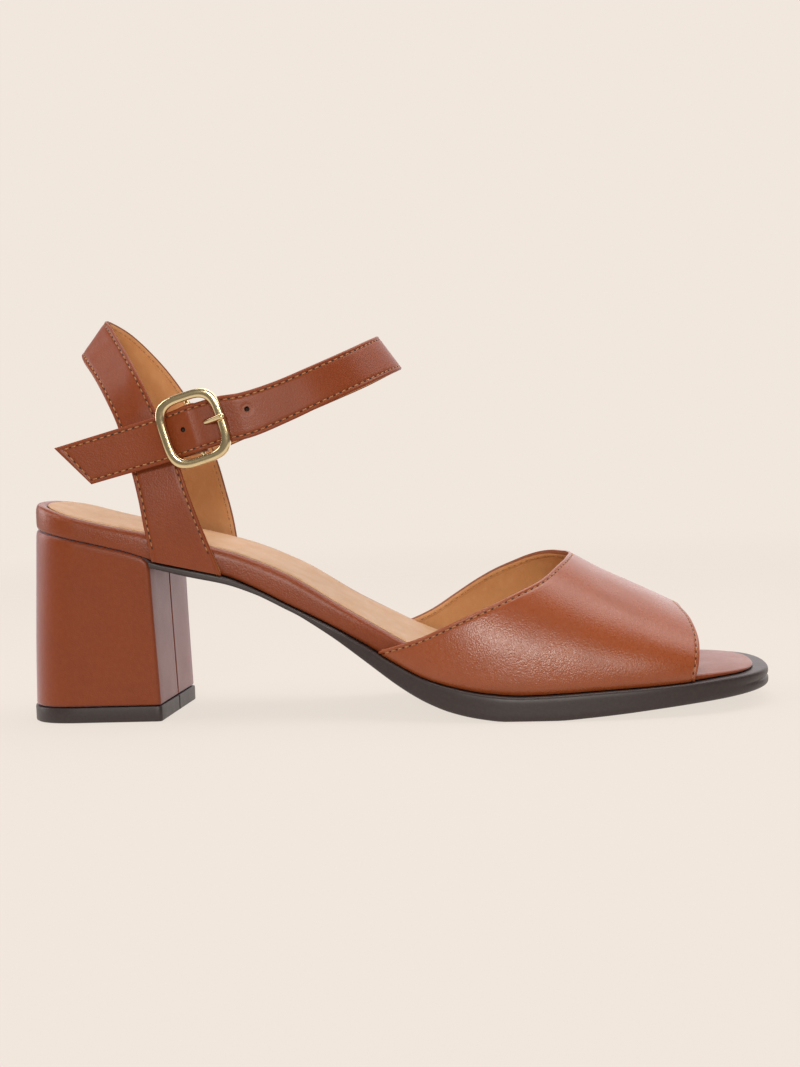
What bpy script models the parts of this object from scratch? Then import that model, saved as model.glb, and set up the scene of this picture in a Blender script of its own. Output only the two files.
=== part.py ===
"""Block heel sandal for the right foot.

The shoe stands on its sole. The toe points along +X, the medial side is +Y and
the buckle is on the lateral side at -Y. All sizes below are in millimetres and
become metres when a mesh is made.
"""

import math
from collections import namedtuple

import bmesh
import bpy
import numpy as np
from mathutils import Matrix, Vector

MM = 0.001
LATERAL = -1.0
MEDIAL = 1.0

# Driving sizes
HALF_LENGTH = 120.0
SOLE_HALF_WIDTH = 41.3
TOE_PEAK_Y = 3.0
HEEL_LIFT_HEIGHT = 5.0
HEEL_LIFT_MARGIN = 0.35
LAYER_GAP = 0.3
VAMP_WALL = 1.8
VAMP_TO_INSOLE_GAP = 0.5
STRAP_THICKNESS = 1.8
LIFT_EDGE = 0.35
SOCK_THICKNESS = 1.1
SOCK_PROUD = 0.1
SOCK_BEVEL = 0.6
SOCK_INSET = 4.0
SOCK_FRONT_X = 46.0
SOCK_STEP_LENGTH = 4.0
OUTSOLE_MIN_THICKNESS = 1.6

# Outlines seen from above: x, then the half width on each side
Width = namedtuple("Width", "x lateral medial")
Tip = namedtuple("Tip", "x y lateral_square medial_square")

INSOLE_WIDTHS = (
    Width(-97.0, 26.2, 26.2),
    Width(-85.0, 26.6, 26.2),
    Width(-70.0, 26.2, 24.9),
    Width(-50.0, 25.0, 22.8),
    Width(-35.0, 24.4, 21.7),
    Width(-20.0, 24.6, 21.2),
    Width(-10.0, 25.8, 22.4),
    Width(0.0, 28.3, 25.2),
    Width(12.0, 32.4, 30.6),
    Width(25.0, 35.4, 34.6),
    Width(36.0, 36.7, 36.2),
    Width(47.0, 37.1, 36.9),
)
INSOLE_BACK = Tip(-117.1, 0.0, 2.4, 2.4)
INSOLE_FRONT = Tip(115.0, TOE_PEAK_Y, 2.7, 2.85)

OUTSOLE_WIDTHS = (
    Width(-74.6, 28.4, 27.2),
    Width(-62.0, 28.2, 26.4),
    Width(-50.0, 27.0, 24.6),
    Width(-35.0, 25.2, 22.5),
    Width(-20.0, 25.6, 22.4),
    Width(-10.0, 27.8, 25.6),
    Width(-2.0, 30.8, 28.4),
    Width(5.0, 33.2, 31.5),
    Width(12.0, 35.6, 34.4),
    Width(25.0, 39.2, 38.7),
    Width(36.0, 40.9, 40.6),
    Width(47.0, SOLE_HALF_WIDTH, SOLE_HALF_WIDTH),
)
OUTSOLE_FRONT = Tip(HALF_LENGTH, TOE_PEAK_Y, 2.45, 2.95)

# Heights along the foot: feather line, insole crest and tread
Height = namedtuple("Height", "x z")

FEATHER = (
    Height(-119.0, 63.5),
    Height(-110.0, 61.5),
    Height(-99.0, 58.9),
    Height(-90.0, 56.7),
    Height(-83.0, 54.9),
    Height(-78.0, 53.2),
    Height(-73.0, 51.3),
    Height(-62.0, 48.7),
    Height(-51.0, 46.0),
    Height(-43.0, 42.5),
    Height(-31.7, 36.5),
    Height(-20.5, 30.7),
    Height(-9.0, 24.3),
    Height(4.0, 16.9),
    Height(12.3, 12.9),
    Height(21.9, 10.2),
    Height(31.3, 8.5),
    Height(42.0, 7.7),
    Height(53.0, 8.0),
    Height(65.0, 8.6),
    Height(80.0, 9.2),
    Height(94.0, 9.9),
    Height(104.0, 10.5),
    Height(121.0, 10.7),
)
INSOLE_TOP = (
    Height(-119.0, 72.3),
    Height(-110.0, 69.5),
    Height(-100.0, 66.2),
    Height(-92.0, 64.0),
    Height(-80.0, 61.2),
    Height(-62.0, 57.0),
    Height(-50.0, 53.7),
    Height(-40.0, 49.8),
    Height(-30.0, 44.9),
    Height(-14.6, 35.2),
    Height(-3.3, 28.7),
    Height(6.6, 23.3),
    Height(16.0, 19.2),
    Height(26.0, 16.0),
    Height(36.0, 13.8),
    Height(46.0, 12.8),
    Height(60.0, 12.2),
    Height(75.0, 11.9),
    Height(90.0, 11.7),
    Height(104.0, 11.7),
    Height(115.0, 11.5),
)
TREAD = (
    Height(-75.5, 49.7),
    Height(-62.7, 46.3),
    Height(-50.0, 43.2),
    Height(-43.3, 40.6),
    Height(-31.0, 34.4),
    Height(-18.4, 26.2),
    Height(-5.6, 17.0),
    Height(6.0, 9.0),
    Height(13.0, 5.3),
    Height(20.0, 2.7),
    Height(29.0, 0.8),
    Height(37.0, 0.0),
    Height(52.0, 0.0),
    Height(62.0, 0.6),
    Height(72.0, 1.4),
    Height(83.0, 2.4),
    Height(94.0, 3.3),
    Height(104.0, 4.0),
    Height(121.0, 5.3),
)

# How much higher than the lateral side the insole and the feather line are on the
# medial side
Rise = namedtuple("Rise", "x insole feather")
MEDIAL_RISE = (
    Rise(-119.0, 0.2, 0.0),
    Rise(-105.0, 0.8, 0.0),
    Rise(-5.0, 0.9, 0.0),
    Rise(20.0, 0.4, 0.0),
    Rise(45.0, 0.0, 0.0),
    Rise(80.0, 0.0, 0.0),
    Rise(92.0, 0.3, 0.6),
    Rise(102.0, 0.5, 1.0),
    Rise(112.0, 0.6, 1.0),
    Rise(121.0, 0.3, 0.4),
)
RISE_HALF_WIDTH = 22.0

# Steps of the outsole's side: inset from the outline, share of the height
OUTSOLE_SIDE = (
    (1.2, 0.0),
    (0.1, 0.12),
    (0.0, 0.36),
    (0.5, 0.5),
    (0.0, 0.64),
    (0.1, 0.9),
    (0.7, 1.0),
)
# Rounded edge and domed toe of the insole: inset from the outline, then the share of
# the height, of the recess for the sock and of the dome
INSOLE_SIDE = (
    (0.9, 0.0, 0.0, 0.0),
    (0.0, 0.14, 0.0, 0.0),
    (0.0, 0.62, 0.0, 0.0),
    (0.7, 0.88, 0.0, 0.0),
    (2.0, 0.985, 0.0, 0.0),
    (SOCK_INSET - 0.6, 1.0, 0.0, 0.2),
    (SOCK_INSET - 0.3, 1.0, 1.0, 0.22),
    (8.5, 1.0, 1.0, 0.6),
    (14.0, 1.0, 1.0, 0.9),
)
TOE_DOME = 1.0

# Heel block: how its plan changes from the top piece up to the seat
HeelLevel = namedtuple("HeelLevel", "share breast_x back_x half_width join_x square")
HEEL_LEVELS = (
    HeelLevel(0.0, -73.9, HEEL_LIFT_MARGIN - HALF_LENGTH, 23.9, -100.0, 2.7),
    HeelLevel(0.33, -74.4, -119.0, 24.3, -99.4, 2.65),
    HeelLevel(0.66, -74.9, -118.1, 24.9, -98.8, 2.55),
    HeelLevel(1.0, -75.3, -117.2, 25.5, -98.0, 2.45),
)
BREAST_CORNER = 1.2

# Top line of the vamp over the instep and how far it leans to the medial side
Ridge = namedtuple("Ridge", "x z y")
VAMP_RIDGE = (
    Ridge(-14.0, 87.3, 4.0),
    Ridge(0.0, 79.6, 4.5),
    Ridge(30.0, 63.2, 6.0),
    Ridge(57.7, 48.3, 7.0),
    Ridge(67.3, 42.8, 6.5),
    Ridge(75.3, 38.9, 6.0),
    Ridge(83.4, 35.0, 5.0),
    Ridge(91.0, 31.2, 4.0),
    Ridge(98.0, 27.8, 3.5),
)
VAMP_SQUARENESS = 2.3

# Edges of the vamp: degrees round the section from the lateral foot, and x
Edge = namedtuple("Edge", "angle x")
VAMP_THROAT = (
    Edge(0.0, -3.0),
    Edge(7.0, 7.8),
    Edge(18.0, 22.4),
    Edge(30.7, 36.7),
    Edge(45.9, 48.4),
    Edge(58.7, 53.2),
    Edge(75.0, 56.6),
    Edge(90.0, 57.7),
    Edge(103.0, 55.7),
    Edge(114.5, 50.9),
    Edge(134.0, 40.0),
    Edge(148.0, 29.0),
    Edge(160.4, 18.0),
    Edge(170.8, 7.2),
    Edge(175.5, 0.8),
    Edge(180.0, -9.0),
)
VAMP_TOE_EDGE = (
    Edge(0.0, 94.4),
    Edge(15.0, 95.8),
    Edge(35.0, 96.4),
    Edge(60.0, 95.2),
    Edge(90.0, 92.2),
    Edge(120.0, 95.2),
    Edge(145.0, 96.8),
    Edge(165.0, 96.6),
    Edge(180.0, 95.6),
)

# Heel strap: rear and front edge of its outer face, from the sole up to the fold
# behind the ankle. Reach is the share of a row's width that the medial half has.
Band = namedtuple("Band", "rear_x rear_y rear_z front_x front_y front_z reach")
HEEL_STRAP = (
    Band(-73.6, 28.9, 51.6, -51.7, 27.5, 46.4, 0.8),
    Band(-75.4, 29.4, 61.9, -57.4, 28.6, 62.6, 0.95),
    Band(-76.8, 29.2, 70.8, -60.8, 28.8, 72.9, 1.01),
    Band(-78.8, 28.2, 79.5, -63.7, 28.1, 82.4, 1.05),
    Band(-81.1, 27.6, 88.0, -67.4, 27.5, 92.0, 1.08),
    Band(-83.5, 26.5, 95.4, -72.0, 26.2, 102.0, 1.09),
    Band(-87.4, 23.8, 103.2, -76.6, 23.4, 110.8, 1.07),
    Band(-92.7, 18.2, 111.0, -82.0, 18.2, 119.2, 1.05),
    Band(-98.2, 10.6, 117.0, -87.9, 10.8, 126.8, 1.02),
    Band(-101.0, 0.0, 119.4, -92.4, 0.0, 130.6, 1.0),
)

# Ankle strap: middle of its outer face from the seam on the medial side, round the
# front of the ankle and back to the buckle. Lean is the angle in degrees between
# the strap's width and the vertical.
Course = namedtuple("Course", "x y z lean width")
ANKLE_STRAP = (
    Course(-81.0, 28.7, 86.9, 20.0, 13.4),
    Course(-71.0, 29.0, 90.3, 20.0, 13.4),
    Course(-60.0, 30.8, 94.3, 20.0, 13.4),
    Course(-48.0, 31.8, 98.8, 21.0, 13.4),
    Course(-36.0, 31.4, 103.1, 22.0, 13.4),
    Course(-24.0, 29.0, 107.5, 24.0, 13.4),
    Course(-12.0, 22.6, 111.9, 28.0, 13.4),
    Course(-3.0, 12.0, 115.2, 33.0, 13.4),
    Course(1.6, 0.0, 115.9, 35.0, 13.4),
    Course(-0.6, -10.0, 114.0, 33.0, 13.1),
    Course(-7.0, -19.5, 110.3, 29.0, 12.8),
    Course(-18.0, -26.8, 105.1, 25.0, 12.8),
    Course(-30.0, -31.0, 99.9, 22.0, 13.3),
    Course(-41.0, -33.3, 96.2, 19.0, 14.3),
)
ANKLE_STRAP_WIDTH = 14.7
TAIL = (
    Course(-70.0, -32.8, 89.1, 14.0, 14.6),
    Course(-83.0, -32.5, 85.9, 14.0, 14.4),
    Course(-96.4, -32.7, 82.5, 14.5, 14.2),
)
TAIL_SLANT = 8.2

# Buckle, along the strap (u), across it (v) and outward from the foot (w)
BUCKLE_X = -56.8
BUCKLE_Z = 92.7
BUCKLE_TILT = 16.0
FRAME_LENGTH = 21.2
FRAME_WIDTH = 23.1
FRAME_BAR = 2.7
FRAME_DEPTH = 2.6
FRAME_SQUARENESS = 3.6
FRAME_OUTER_Y = -36.6
CENTRE_BAR_RADIUS = 0.8
CENTRE_BAR_Y = -32.4
LUG_RADIUS = 0.95
STRAP_BULGE = 2.8
STRAP_BULGE_REACH = 8.5
STRAP_STATIONS = (8.5, 4.25, 0.0, -4.25, -8.5)
PRONG_V = 0.6
PRONG_ROOT_RADIUS = 0.65
PRONG_TIP_RADIUS = 1.0
PRONG_EYE_RADIUS = 1.85
PRONG_RISE = 28.0
PRONG_LENGTH = 12.4
PRONG_CUT_START = 2.0
PRONG_CUT_OVERRUN = 3.0
RUNNING_GAP = 0.25
CUT_CLEARANCE = 0.35
HOLE_RADIUS = 0.9
HOLE_PLACES = (-3.1, 17.5)
HOLE_REACH = (-3.5, 9.0)

# Leather loop that holds the buckle: u and w along its folded profile
LOOP_PLY = 0.9
LOOP_WIDTH_AT_BAR = 15.6
LOOP_WIDTH_AT_END = 12.4
LOOP_WRAP = 120.0
LOOP_SLOT_LENGTH = 8.0
LOOP_SLOT_U = 1.2
LOOP_PROFILE = (
    (-5.0, 0.1),
    (-10.5, -2.05),
    (-24.0, -2.05),
    (-24.0, -3.85),
    (-11.0, -3.85),
    (-5.0, -1.9),
)


def clear_scene():
    """Remove the objects that a new file holds."""
    for old in list(bpy.data.objects):
        bpy.data.objects.remove(old, do_unlink=True)


def plain_material(name, colour, roughness, metallic=0.0):
    """A Principled material with one colour."""
    material = bpy.data.materials.new(name)
    material.use_nodes = True
    shader = material.node_tree.nodes["Principled BSDF"]
    shader.inputs["Base Color"].default_value = (*colour, 1.0)
    shader.inputs["Roughness"].default_value = roughness
    shader.inputs["Metallic"].default_value = metallic
    return material


def add_object(name, bm, material=None, smooth_angle=40.0):
    """Turn a bmesh in millimetres into an object in metres."""
    bmesh.ops.scale(bm, vec=Vector((MM, MM, MM)), verts=bm.verts)
    mesh = bpy.data.meshes.new(name)
    bm.to_mesh(mesh)
    bm.free()
    if material is not None:
        mesh.materials.append(material)
    mesh.shade_smooth()
    mesh.set_sharp_from_angle(angle=math.radians(smooth_angle))
    item = bpy.data.objects.new(name, mesh)
    bpy.context.scene.collection.objects.link(item)
    return item


def add_solid(name, bm, material):
    """Object from a closed bmesh, with its faces pointing out."""
    bmesh.ops.recalc_face_normals(bm, faces=bm.faces)
    return add_object(name, bm, material)


def hide_helper(item):
    """Keep an object as a helper that only a Boolean reads."""
    item.hide_render = True
    item.display_type = "WIRE"
    return item


def add_helper(name, bm, placement):
    """Hidden helper solid in its place."""
    bmesh.ops.transform(bm, matrix=placement, verts=bm.verts)
    bmesh.ops.recalc_face_normals(bm, faces=bm.faces)
    return hide_helper(add_object(name, bm))


def add_boolean(item, helper, operation):
    """Cut or join with an exact Boolean."""
    change = item.modifiers.new(helper.name, "BOOLEAN")
    change.operation = operation
    change.solver = "EXACT"
    change.object = helper


def through_rows(rows, key, column, places):
    """Smooth curve through the rows of a table that never passes its own peaks."""
    at = np.array([getattr(row, key) for row in rows])
    value = np.array([getattr(row, column) for row in rows])
    step = np.diff(at)
    rise = np.diff(value) / step
    slope = np.zeros(len(at))
    for i in range(1, len(at) - 1):
        if rise[i - 1] * rise[i] > 0.0:
            before = 2.0 * step[i] + step[i - 1]
            after = step[i] + 2.0 * step[i - 1]
            slope[i] = (before + after) / (before / rise[i - 1] + after / rise[i])
    slope[0] = rise[0]
    slope[-1] = rise[-1]
    places = np.clip(np.asarray(places, dtype=float), at[0], at[-1])
    k = np.clip(np.searchsorted(at, places) - 1, 0, len(step) - 1)
    t = (places - at[k]) / step[k]
    start = value[k] * (1.0 + 2.0 * t) * (1.0 - t) ** 2
    end = value[k + 1] * t * t * (3.0 - 2.0 * t)
    leave = slope[k] * step[k] * t * (1.0 - t) ** 2
    arrive = slope[k + 1] * step[k] * t * t * (t - 1.0)
    return start + end + leave + arrive


def value_at(rows, key, column, place):
    """One value of the smooth curve through a table."""
    return float(through_rows(rows, key, column, [place])[0])


def medial_rise(x, y, column):
    """Extra height that grows evenly from the lateral to the medial side."""
    share = np.clip(0.5 + np.asarray(y) / (2.0 * RISE_HALF_WIDTH), 0.0, 1.0)
    return through_rows(MEDIAL_RISE, "x", column, x) * share


def feather_height(x, y):
    """Underside of the insole."""
    return through_rows(FEATHER, "x", "z", x) + medial_rise(x, y, "feather")


def insole_height(x, y):
    """Crest of the wrapped insole edge."""
    return through_rows(INSOLE_TOP, "x", "z", x) + medial_rise(x, y, "insole")


def round_end(join, tip, square, count):
    """Quarter of a superellipse from the end of a side to the tip."""
    angle = np.linspace(0.0, math.pi / 2.0, count + 1)[1:]
    along = np.sin(angle) ** (2.0 / square)
    across = np.clip(np.cos(angle), 0.0, 1.0) ** (2.0 / square)
    x = join[0] + (tip.x - join[0]) * along
    y = tip.y + (join[1] - tip.y) * across
    return np.stack([x, y], axis=1)


def half_outline(rows, side, back, front, side_count, end_count):
    """One side of an outline from above, from the back to the front."""
    column = "lateral" if side == LATERAL else "medial"
    x = np.linspace(rows[0].x, rows[-1].x, side_count)
    y = side * through_rows(rows, "x", column, x)
    points = np.stack([x, y], axis=1)
    if back is not None:
        end = round_end(points[0], back, getattr(back, column + "_square"), end_count)
        points = np.vstack([end[::-1], points])
    if front is not None:
        end = round_end(points[-1], front, getattr(front, column + "_square"), end_count)
        points = np.vstack([points, end])
    return points


def full_outline(rows, back, front, side_count=26, end_count=9):
    """Lateral and medial halves with the same number of points."""
    return [
        half_outline(rows, side, back, front, side_count, end_count)
        for side in (LATERAL, MEDIAL)
    ]


def inset(outline, distance):
    """Move both halves of an outline towards the inside of the shoe."""
    lateral, medial = outline
    round_back = np.allclose(lateral[0], medial[0])
    round_front = np.allclose(lateral[-1], medial[-1])
    moved = []
    for half, side in zip(outline, (LATERAL, MEDIAL)):
        run = np.gradient(half, axis=0)
        run /= np.linalg.norm(run, axis=1)[:, None]
        inward = np.stack([run[:, 1], -run[:, 0]], axis=1) * side
        if round_back:
            inward[0] = (1.0, 0.0)
        if round_front:
            inward[-1] = (-1.0, 0.0)
        moved.append(half + inward * distance)
    return moved


def raise_outline(outline, height):
    """Give each point of an outline the height of a function of x and y."""
    return [np.column_stack([half, height(half[:, 0], half[:, 1])]) for half in outline]


def stack_levels(levels):
    """Close a solid from outlines stacked from the bottom to the top."""
    bm = bmesh.new()
    loops = []
    pairs = []
    for lateral, medial in levels:
        near = [bm.verts.new(point) for point in lateral]
        far = []
        for i, point in enumerate(medial):
            shared = np.allclose(point, lateral[i])
            far.append(near[i] if shared else bm.verts.new(point))
        loops.append(near + [vert for vert in far[::-1] if vert not in near])
        pairs.append((near, far))
    for lower, upper in zip(loops, loops[1:]):
        for i in range(len(lower)):
            j = (i + 1) % len(lower)
            bm.faces.new((lower[i], lower[j], upper[j], upper[i]))
    for near, far in (pairs[0], pairs[-1]):
        for i in range(len(near) - 1):
            corners = (near[i], near[i + 1], far[i + 1], far[i])
            bm.faces.new(list(dict.fromkeys(corners)))
    return bm


def make_outsole(material):
    """Outsole from the heel breast to the toe, with a groove round its side."""
    outline = full_outline(OUTSOLE_WIDTHS, None, OUTSOLE_FRONT, 32, 10)
    levels = []
    for step, share in OUTSOLE_SIDE:
        def height(x, y, share=share):
            top = feather_height(x, y) - LAYER_GAP
            tread = through_rows(TREAD, "x", "z", x)
            low = np.minimum(tread, top - OUTSOLE_MIN_THICKNESS)
            return low + (top - low) * share
        levels.append(raise_outline(inset(outline, step), height))
    return add_solid("outsole", stack_levels(levels), material)


def heel_outline(level):
    """Plan of the heel at one level, straight across its breast."""
    wide = level.half_width
    rows = (Width(level.join_x, wide, wide), Width(level.breast_x - BREAST_CORNER, wide, wide))
    back = Tip(level.back_x, 0.0, level.square, level.square)
    outline = full_outline(rows, back, None, 5, 9)
    corner = wide - BREAST_CORNER
    return [
        np.vstack([half, (level.breast_x, side * corner)])
        for half, side in zip(outline, (LATERAL, MEDIAL))
    ]


def make_heel(material):
    """Leather covered block that widens a little towards the seat."""
    foot = HEEL_LIFT_HEIGHT + LAYER_GAP
    levels = []
    for level in HEEL_LEVELS:
        def height(x, y, share=level.share):
            seat = feather_height(x, y) - LAYER_GAP
            return foot + (seat - foot) * share
        levels.append(raise_outline(heel_outline(level), height))
    return add_solid("heel_block", stack_levels(levels), material)


def make_heel_lift(material):
    """Flat top piece under the heel that meets the floor."""
    foot = HEEL_LEVELS[0]
    grown = foot._replace(
        breast_x=foot.breast_x + HEEL_LIFT_MARGIN,
        back_x=foot.back_x - HEEL_LIFT_MARGIN,
        half_width=foot.half_width + HEEL_LIFT_MARGIN,
    )
    plan = heel_outline(grown)
    levels = []
    for step, rise in ((LIFT_EDGE, 0.0), (0.0, LIFT_EDGE), (0.0, HEEL_LIFT_HEIGHT)):
        def height(x, y, rise=rise):
            return np.full_like(x, rise)
        levels.append(raise_outline(inset(plan, step), height))
    return add_solid("heel_top_piece", stack_levels(levels), material)


def toe_share(x):
    """None under the sock lining, all of it under the bare toe."""
    return np.clip((x - SOCK_FRONT_X) / SOCK_STEP_LENGTH - 0.25, 0.0, 1.0)


def make_insole(material):
    """Insole with its rounded edge wrapped in the leather of the upper."""
    outline = full_outline(INSOLE_WIDTHS, INSOLE_BACK, INSOLE_FRONT)
    levels = []
    for step, share, recess, dome in INSOLE_SIDE:
        def height(x, y, share=share, recess=recess, dome=dome):
            low = feather_height(x, y)
            bare = toe_share(x)
            sunk = (SOCK_THICKNESS - SOCK_PROUD) * (1.0 - bare) * recess
            return low + (insole_height(x, y) - low) * share - sunk + TOE_DOME * dome * bare
        levels.append(raise_outline(inset(outline, step), height))
    return add_solid("insole", stack_levels(levels), material)


def make_sock(material):
    """Thin lining that covers the insole as far as the vamp."""
    rows = [row for row in INSOLE_WIDTHS if row.x < SOCK_FRONT_X]
    ends = [value_at(INSOLE_WIDTHS, "x", side, SOCK_FRONT_X) for side in ("lateral", "medial")]
    rows.append(Width(SOCK_FRONT_X, *ends))
    outline = full_outline(rows, INSOLE_BACK, None, 22, 9)
    crown = SOCK_PROUD + LAYER_GAP
    levels = []
    for step, rise in ((0.0, crown - SOCK_THICKNESS), (0.0, 0.0), (SOCK_BEVEL, crown)):
        def height(x, y, rise=rise):
            return insole_height(x, y) + rise
        levels.append(raise_outline(inset(outline, SOCK_INSET + step), height))
    return add_solid("sock_lining", stack_levels(levels), material)


def foot_line():
    """Where the outer face of the vamp meets the sole, on both sides."""
    outline = full_outline(INSOLE_WIDTHS, INSOLE_BACK, INSOLE_FRONT, 60, 30)
    return inset(outline, -(VAMP_WALL + VAMP_TO_INSOLE_GAP))


def vamp_point(x, degrees, feet):
    """Point of the vamp's outer face on the section at x."""
    lateral, medial = feet
    turn = math.radians(degrees)
    half = lateral if degrees < 90.0 else medial
    edge = float(np.interp(x, half[:, 0], half[:, 1]))
    middle = value_at(VAMP_RIDGE, "x", "y", x)
    top = value_at(VAMP_RIDGE, "x", "z", x)
    low = float(feather_height([x], [edge])[0])
    power = 2.0 / VAMP_SQUARENESS
    across = abs(math.cos(turn)) ** power
    up = abs(math.sin(turn)) ** power
    return (x, middle + (edge - middle) * across, low + (top - low) * up)


def add_skin(name, grid, material, inside):
    """Open surface through a grid of points, facing away from a point inside."""
    bm = bmesh.new()
    verts = [[bm.verts.new(point) for point in line] for line in grid]
    for a, b in zip(verts, verts[1:]):
        for i in range(len(a) - 1):
            bm.faces.new((a[i], a[i + 1], b[i + 1], b[i]))
    bm.normal_update()
    centre = Vector(inside)
    facing = sum(face.normal.dot(face.calc_center_median() - centre) for face in bm.faces)
    if facing < 0.0:
        bmesh.ops.reverse_faces(bm, faces=bm.faces)
    return add_object(name, bm, material)


def add_wall(item, thickness):
    """Give an open surface its real thickness, inwards."""
    wall = item.modifiers.new("wall", "SOLIDIFY")
    wall.thickness = thickness * MM
    wall.offset = -1.0
    wall.use_even_offset = True


def make_vamp(material):
    """Open toe vamp: one shell over the last between the throat and the toe edge."""
    feet = foot_line()
    around = 30
    along = 17
    grid = []
    for i in range(around + 1):
        degrees = 180.0 * i / around
        back = value_at(VAMP_THROAT, "angle", "x", degrees)
        front = value_at(VAMP_TOE_EDGE, "angle", "x", degrees)
        places = [back + (front - back) * j / along for j in range(along + 1)]
        grid.append([vamp_point(x, degrees, feet) for x in places])
    vamp = add_skin("vamp", grid, material, (60.0, 0.0, 10.0))
    add_wall(vamp, VAMP_WALL)
    return vamp


def catmull_point(four, knots, t):
    """One point of a Catmull-Rom span with uneven knots."""
    def blend(a, b, low, high):
        share = (t - low) / (high - low)
        return a * (1.0 - share) + b * share
    first = [blend(four[i], four[i + 1], knots[i], knots[i + 1]) for i in range(3)]
    second = [blend(first[i], first[i + 1], knots[i], knots[i + 2]) for i in range(2)]
    return blend(second[0], second[1], knots[1], knots[2])


def smooth_course(rows, per_span):
    """Curve through rows of numbers, spaced by the way between their first three."""
    rows = np.asarray(rows, dtype=float)
    first = 2.0 * rows[0] - rows[1]
    last = 2.0 * rows[-1] - rows[-2]
    padded = np.vstack([first, rows, last])
    spacing = np.linalg.norm(np.diff(padded[:, :3], axis=0), axis=1) ** 0.5
    knots = np.concatenate([[0.0], np.cumsum(spacing)])
    course = []
    for i in range(1, len(padded) - 2):
        for step in range(per_span):
            t = knots[i] + (knots[i + 1] - knots[i]) * step / per_span
            course.append(catmull_point(padded[i - 1:i + 3], knots[i - 1:i + 3], t))
    course.append(rows[-1])
    return np.array(course)


def heel_strap_grid():
    """Outer face of the band that rises from both sides and folds behind the ankle."""
    lateral = []
    medial = []
    for band in HEEL_STRAP:
        rear = np.array((band.rear_x, band.rear_y, band.rear_z))
        front = np.array((band.front_x, band.front_y, band.front_z))
        mirror = np.array((1.0, LATERAL, 1.0))
        lateral.append((*(rear * mirror), *(front * mirror)))
        medial.append((*rear, *(rear + (front - rear) * band.reach)))
    course = smooth_course(lateral + medial[-2::-1], 3)
    return [[row[:3] * (1.0 - s) + row[3:] * s for s in (0.0, 0.5, 1.0)] for row in course]


def buckle_run(x, y, z, lean, width):
    """Rows of the strap where it goes under, over and under the bars of the buckle."""
    rows = []
    tilt = math.radians(BUCKLE_TILT)
    for u in STRAP_STATIONS:
        bulge = STRAP_BULGE * 0.5 * (1.0 + math.cos(math.pi * u / STRAP_BULGE_REACH))
        rows.append((x + u * math.cos(tilt), y - bulge, z + u * math.sin(tilt), lean, width))
    return rows


def ankle_strap_grid():
    """Outer face of the ankle strap from its seam to its slanted end."""
    under_bar = FRAME_OUTER_Y + FRAME_DEPTH + LAYER_GAP
    middle = buckle_run(BUCKLE_X, under_bar, BUCKLE_Z, BUCKLE_TILT, ANKLE_STRAP_WIDTH)
    course = smooth_course([*ANKLE_STRAP, *middle, *TAIL], 4)
    centre = course[:, :3]
    run = np.gradient(centre, axis=0)
    run /= np.linalg.norm(run, axis=1)[:, None]
    steps = (-0.5, 0.0, 0.5)
    grid = []
    for point, tangent, lean, width in zip(centre, run, np.radians(course[:, 3]), course[:, 4]):
        up = np.array([-math.sin(lean), 0.0, math.cos(lean)])
        up -= tangent * up.dot(tangent)
        up /= np.linalg.norm(up)
        grid.append([point + up * width * s for s in steps])
    grid[-1] = [point + run[-1] * TAIL_SLANT * s for point, s in zip(grid[-1], steps)]
    return grid


def buckle_matrix(y):
    """Place along the strap (u), across it (v) and outward (w) in the shoe."""
    tilt = math.radians(BUCKLE_TILT)
    along = Vector((math.cos(tilt), 0.0, math.sin(tilt)))
    across = Vector((-math.sin(tilt), 0.0, math.cos(tilt)))
    outward = Vector((0.0, -1.0, 0.0))
    basis = Matrix((along, across, outward)).transposed().to_4x4()
    return Matrix.Translation(Vector((BUCKLE_X, y, BUCKLE_Z))) @ basis


def round_bar(start, end, radius, end_radius=None, sides=12):
    """Closed cylinder or cone between two points."""
    start = Vector(start)
    end = Vector(end)
    bm = bmesh.new()
    bmesh.ops.create_cone(
        bm,
        cap_ends=True,
        segments=sides,
        radius1=radius,
        radius2=radius if end_radius is None else end_radius,
        depth=(end - start).length,
    )
    turn = (end - start).to_track_quat("Z", "Y").to_matrix().to_4x4()
    middle = Matrix.Translation((start + end) / 2.0)
    bmesh.ops.transform(bm, matrix=middle @ turn, verts=bm.verts)
    return bm


def prong_shape(start, end, grow=0.0):
    """Straight tapered prong between two distances from the centre bar."""
    rise = math.radians(PRONG_RISE)
    ends = [(s * math.cos(rise), PRONG_V, s * math.sin(rise)) for s in (start, end)]
    span = PRONG_TIP_RADIUS - PRONG_ROOT_RADIUS
    radii = [PRONG_ROOT_RADIUS + span * s / PRONG_LENGTH + grow for s in (start, end)]
    return round_bar(*ends, *radii)


def make_straps(material):
    """Heel strap and ankle strap, sewn into one on the medial side."""
    straps = add_skin("heel_and_ankle_strap", heel_strap_grid(), material, (-50.0, 0.0, 80.0))
    add_wall(straps, STRAP_THICKNESS)
    ankle = add_skin("ankle_strap_shape", ankle_strap_grid(), material, (-45.0, 0.0, 95.0))
    add_wall(ankle, STRAP_THICKNESS)
    add_boolean(straps, hide_helper(ankle), "UNION")
    place = buckle_matrix(CENTRE_BAR_Y)
    slot = prong_shape(PRONG_CUT_START, PRONG_LENGTH + PRONG_CUT_OVERRUN, CUT_CLEARANCE)
    add_boolean(straps, add_helper("prong_hole", slot, place), "DIFFERENCE")
    low, high = HOLE_REACH
    for number, u in enumerate(HOLE_PLACES):
        hole = round_bar((u, PRONG_V, low), (u, PRONG_V, high), HOLE_RADIUS, sides=8)
        add_boolean(straps, add_helper(f"punched_hole_{number}", hole, place), "DIFFERENCE")
    return straps


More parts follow.
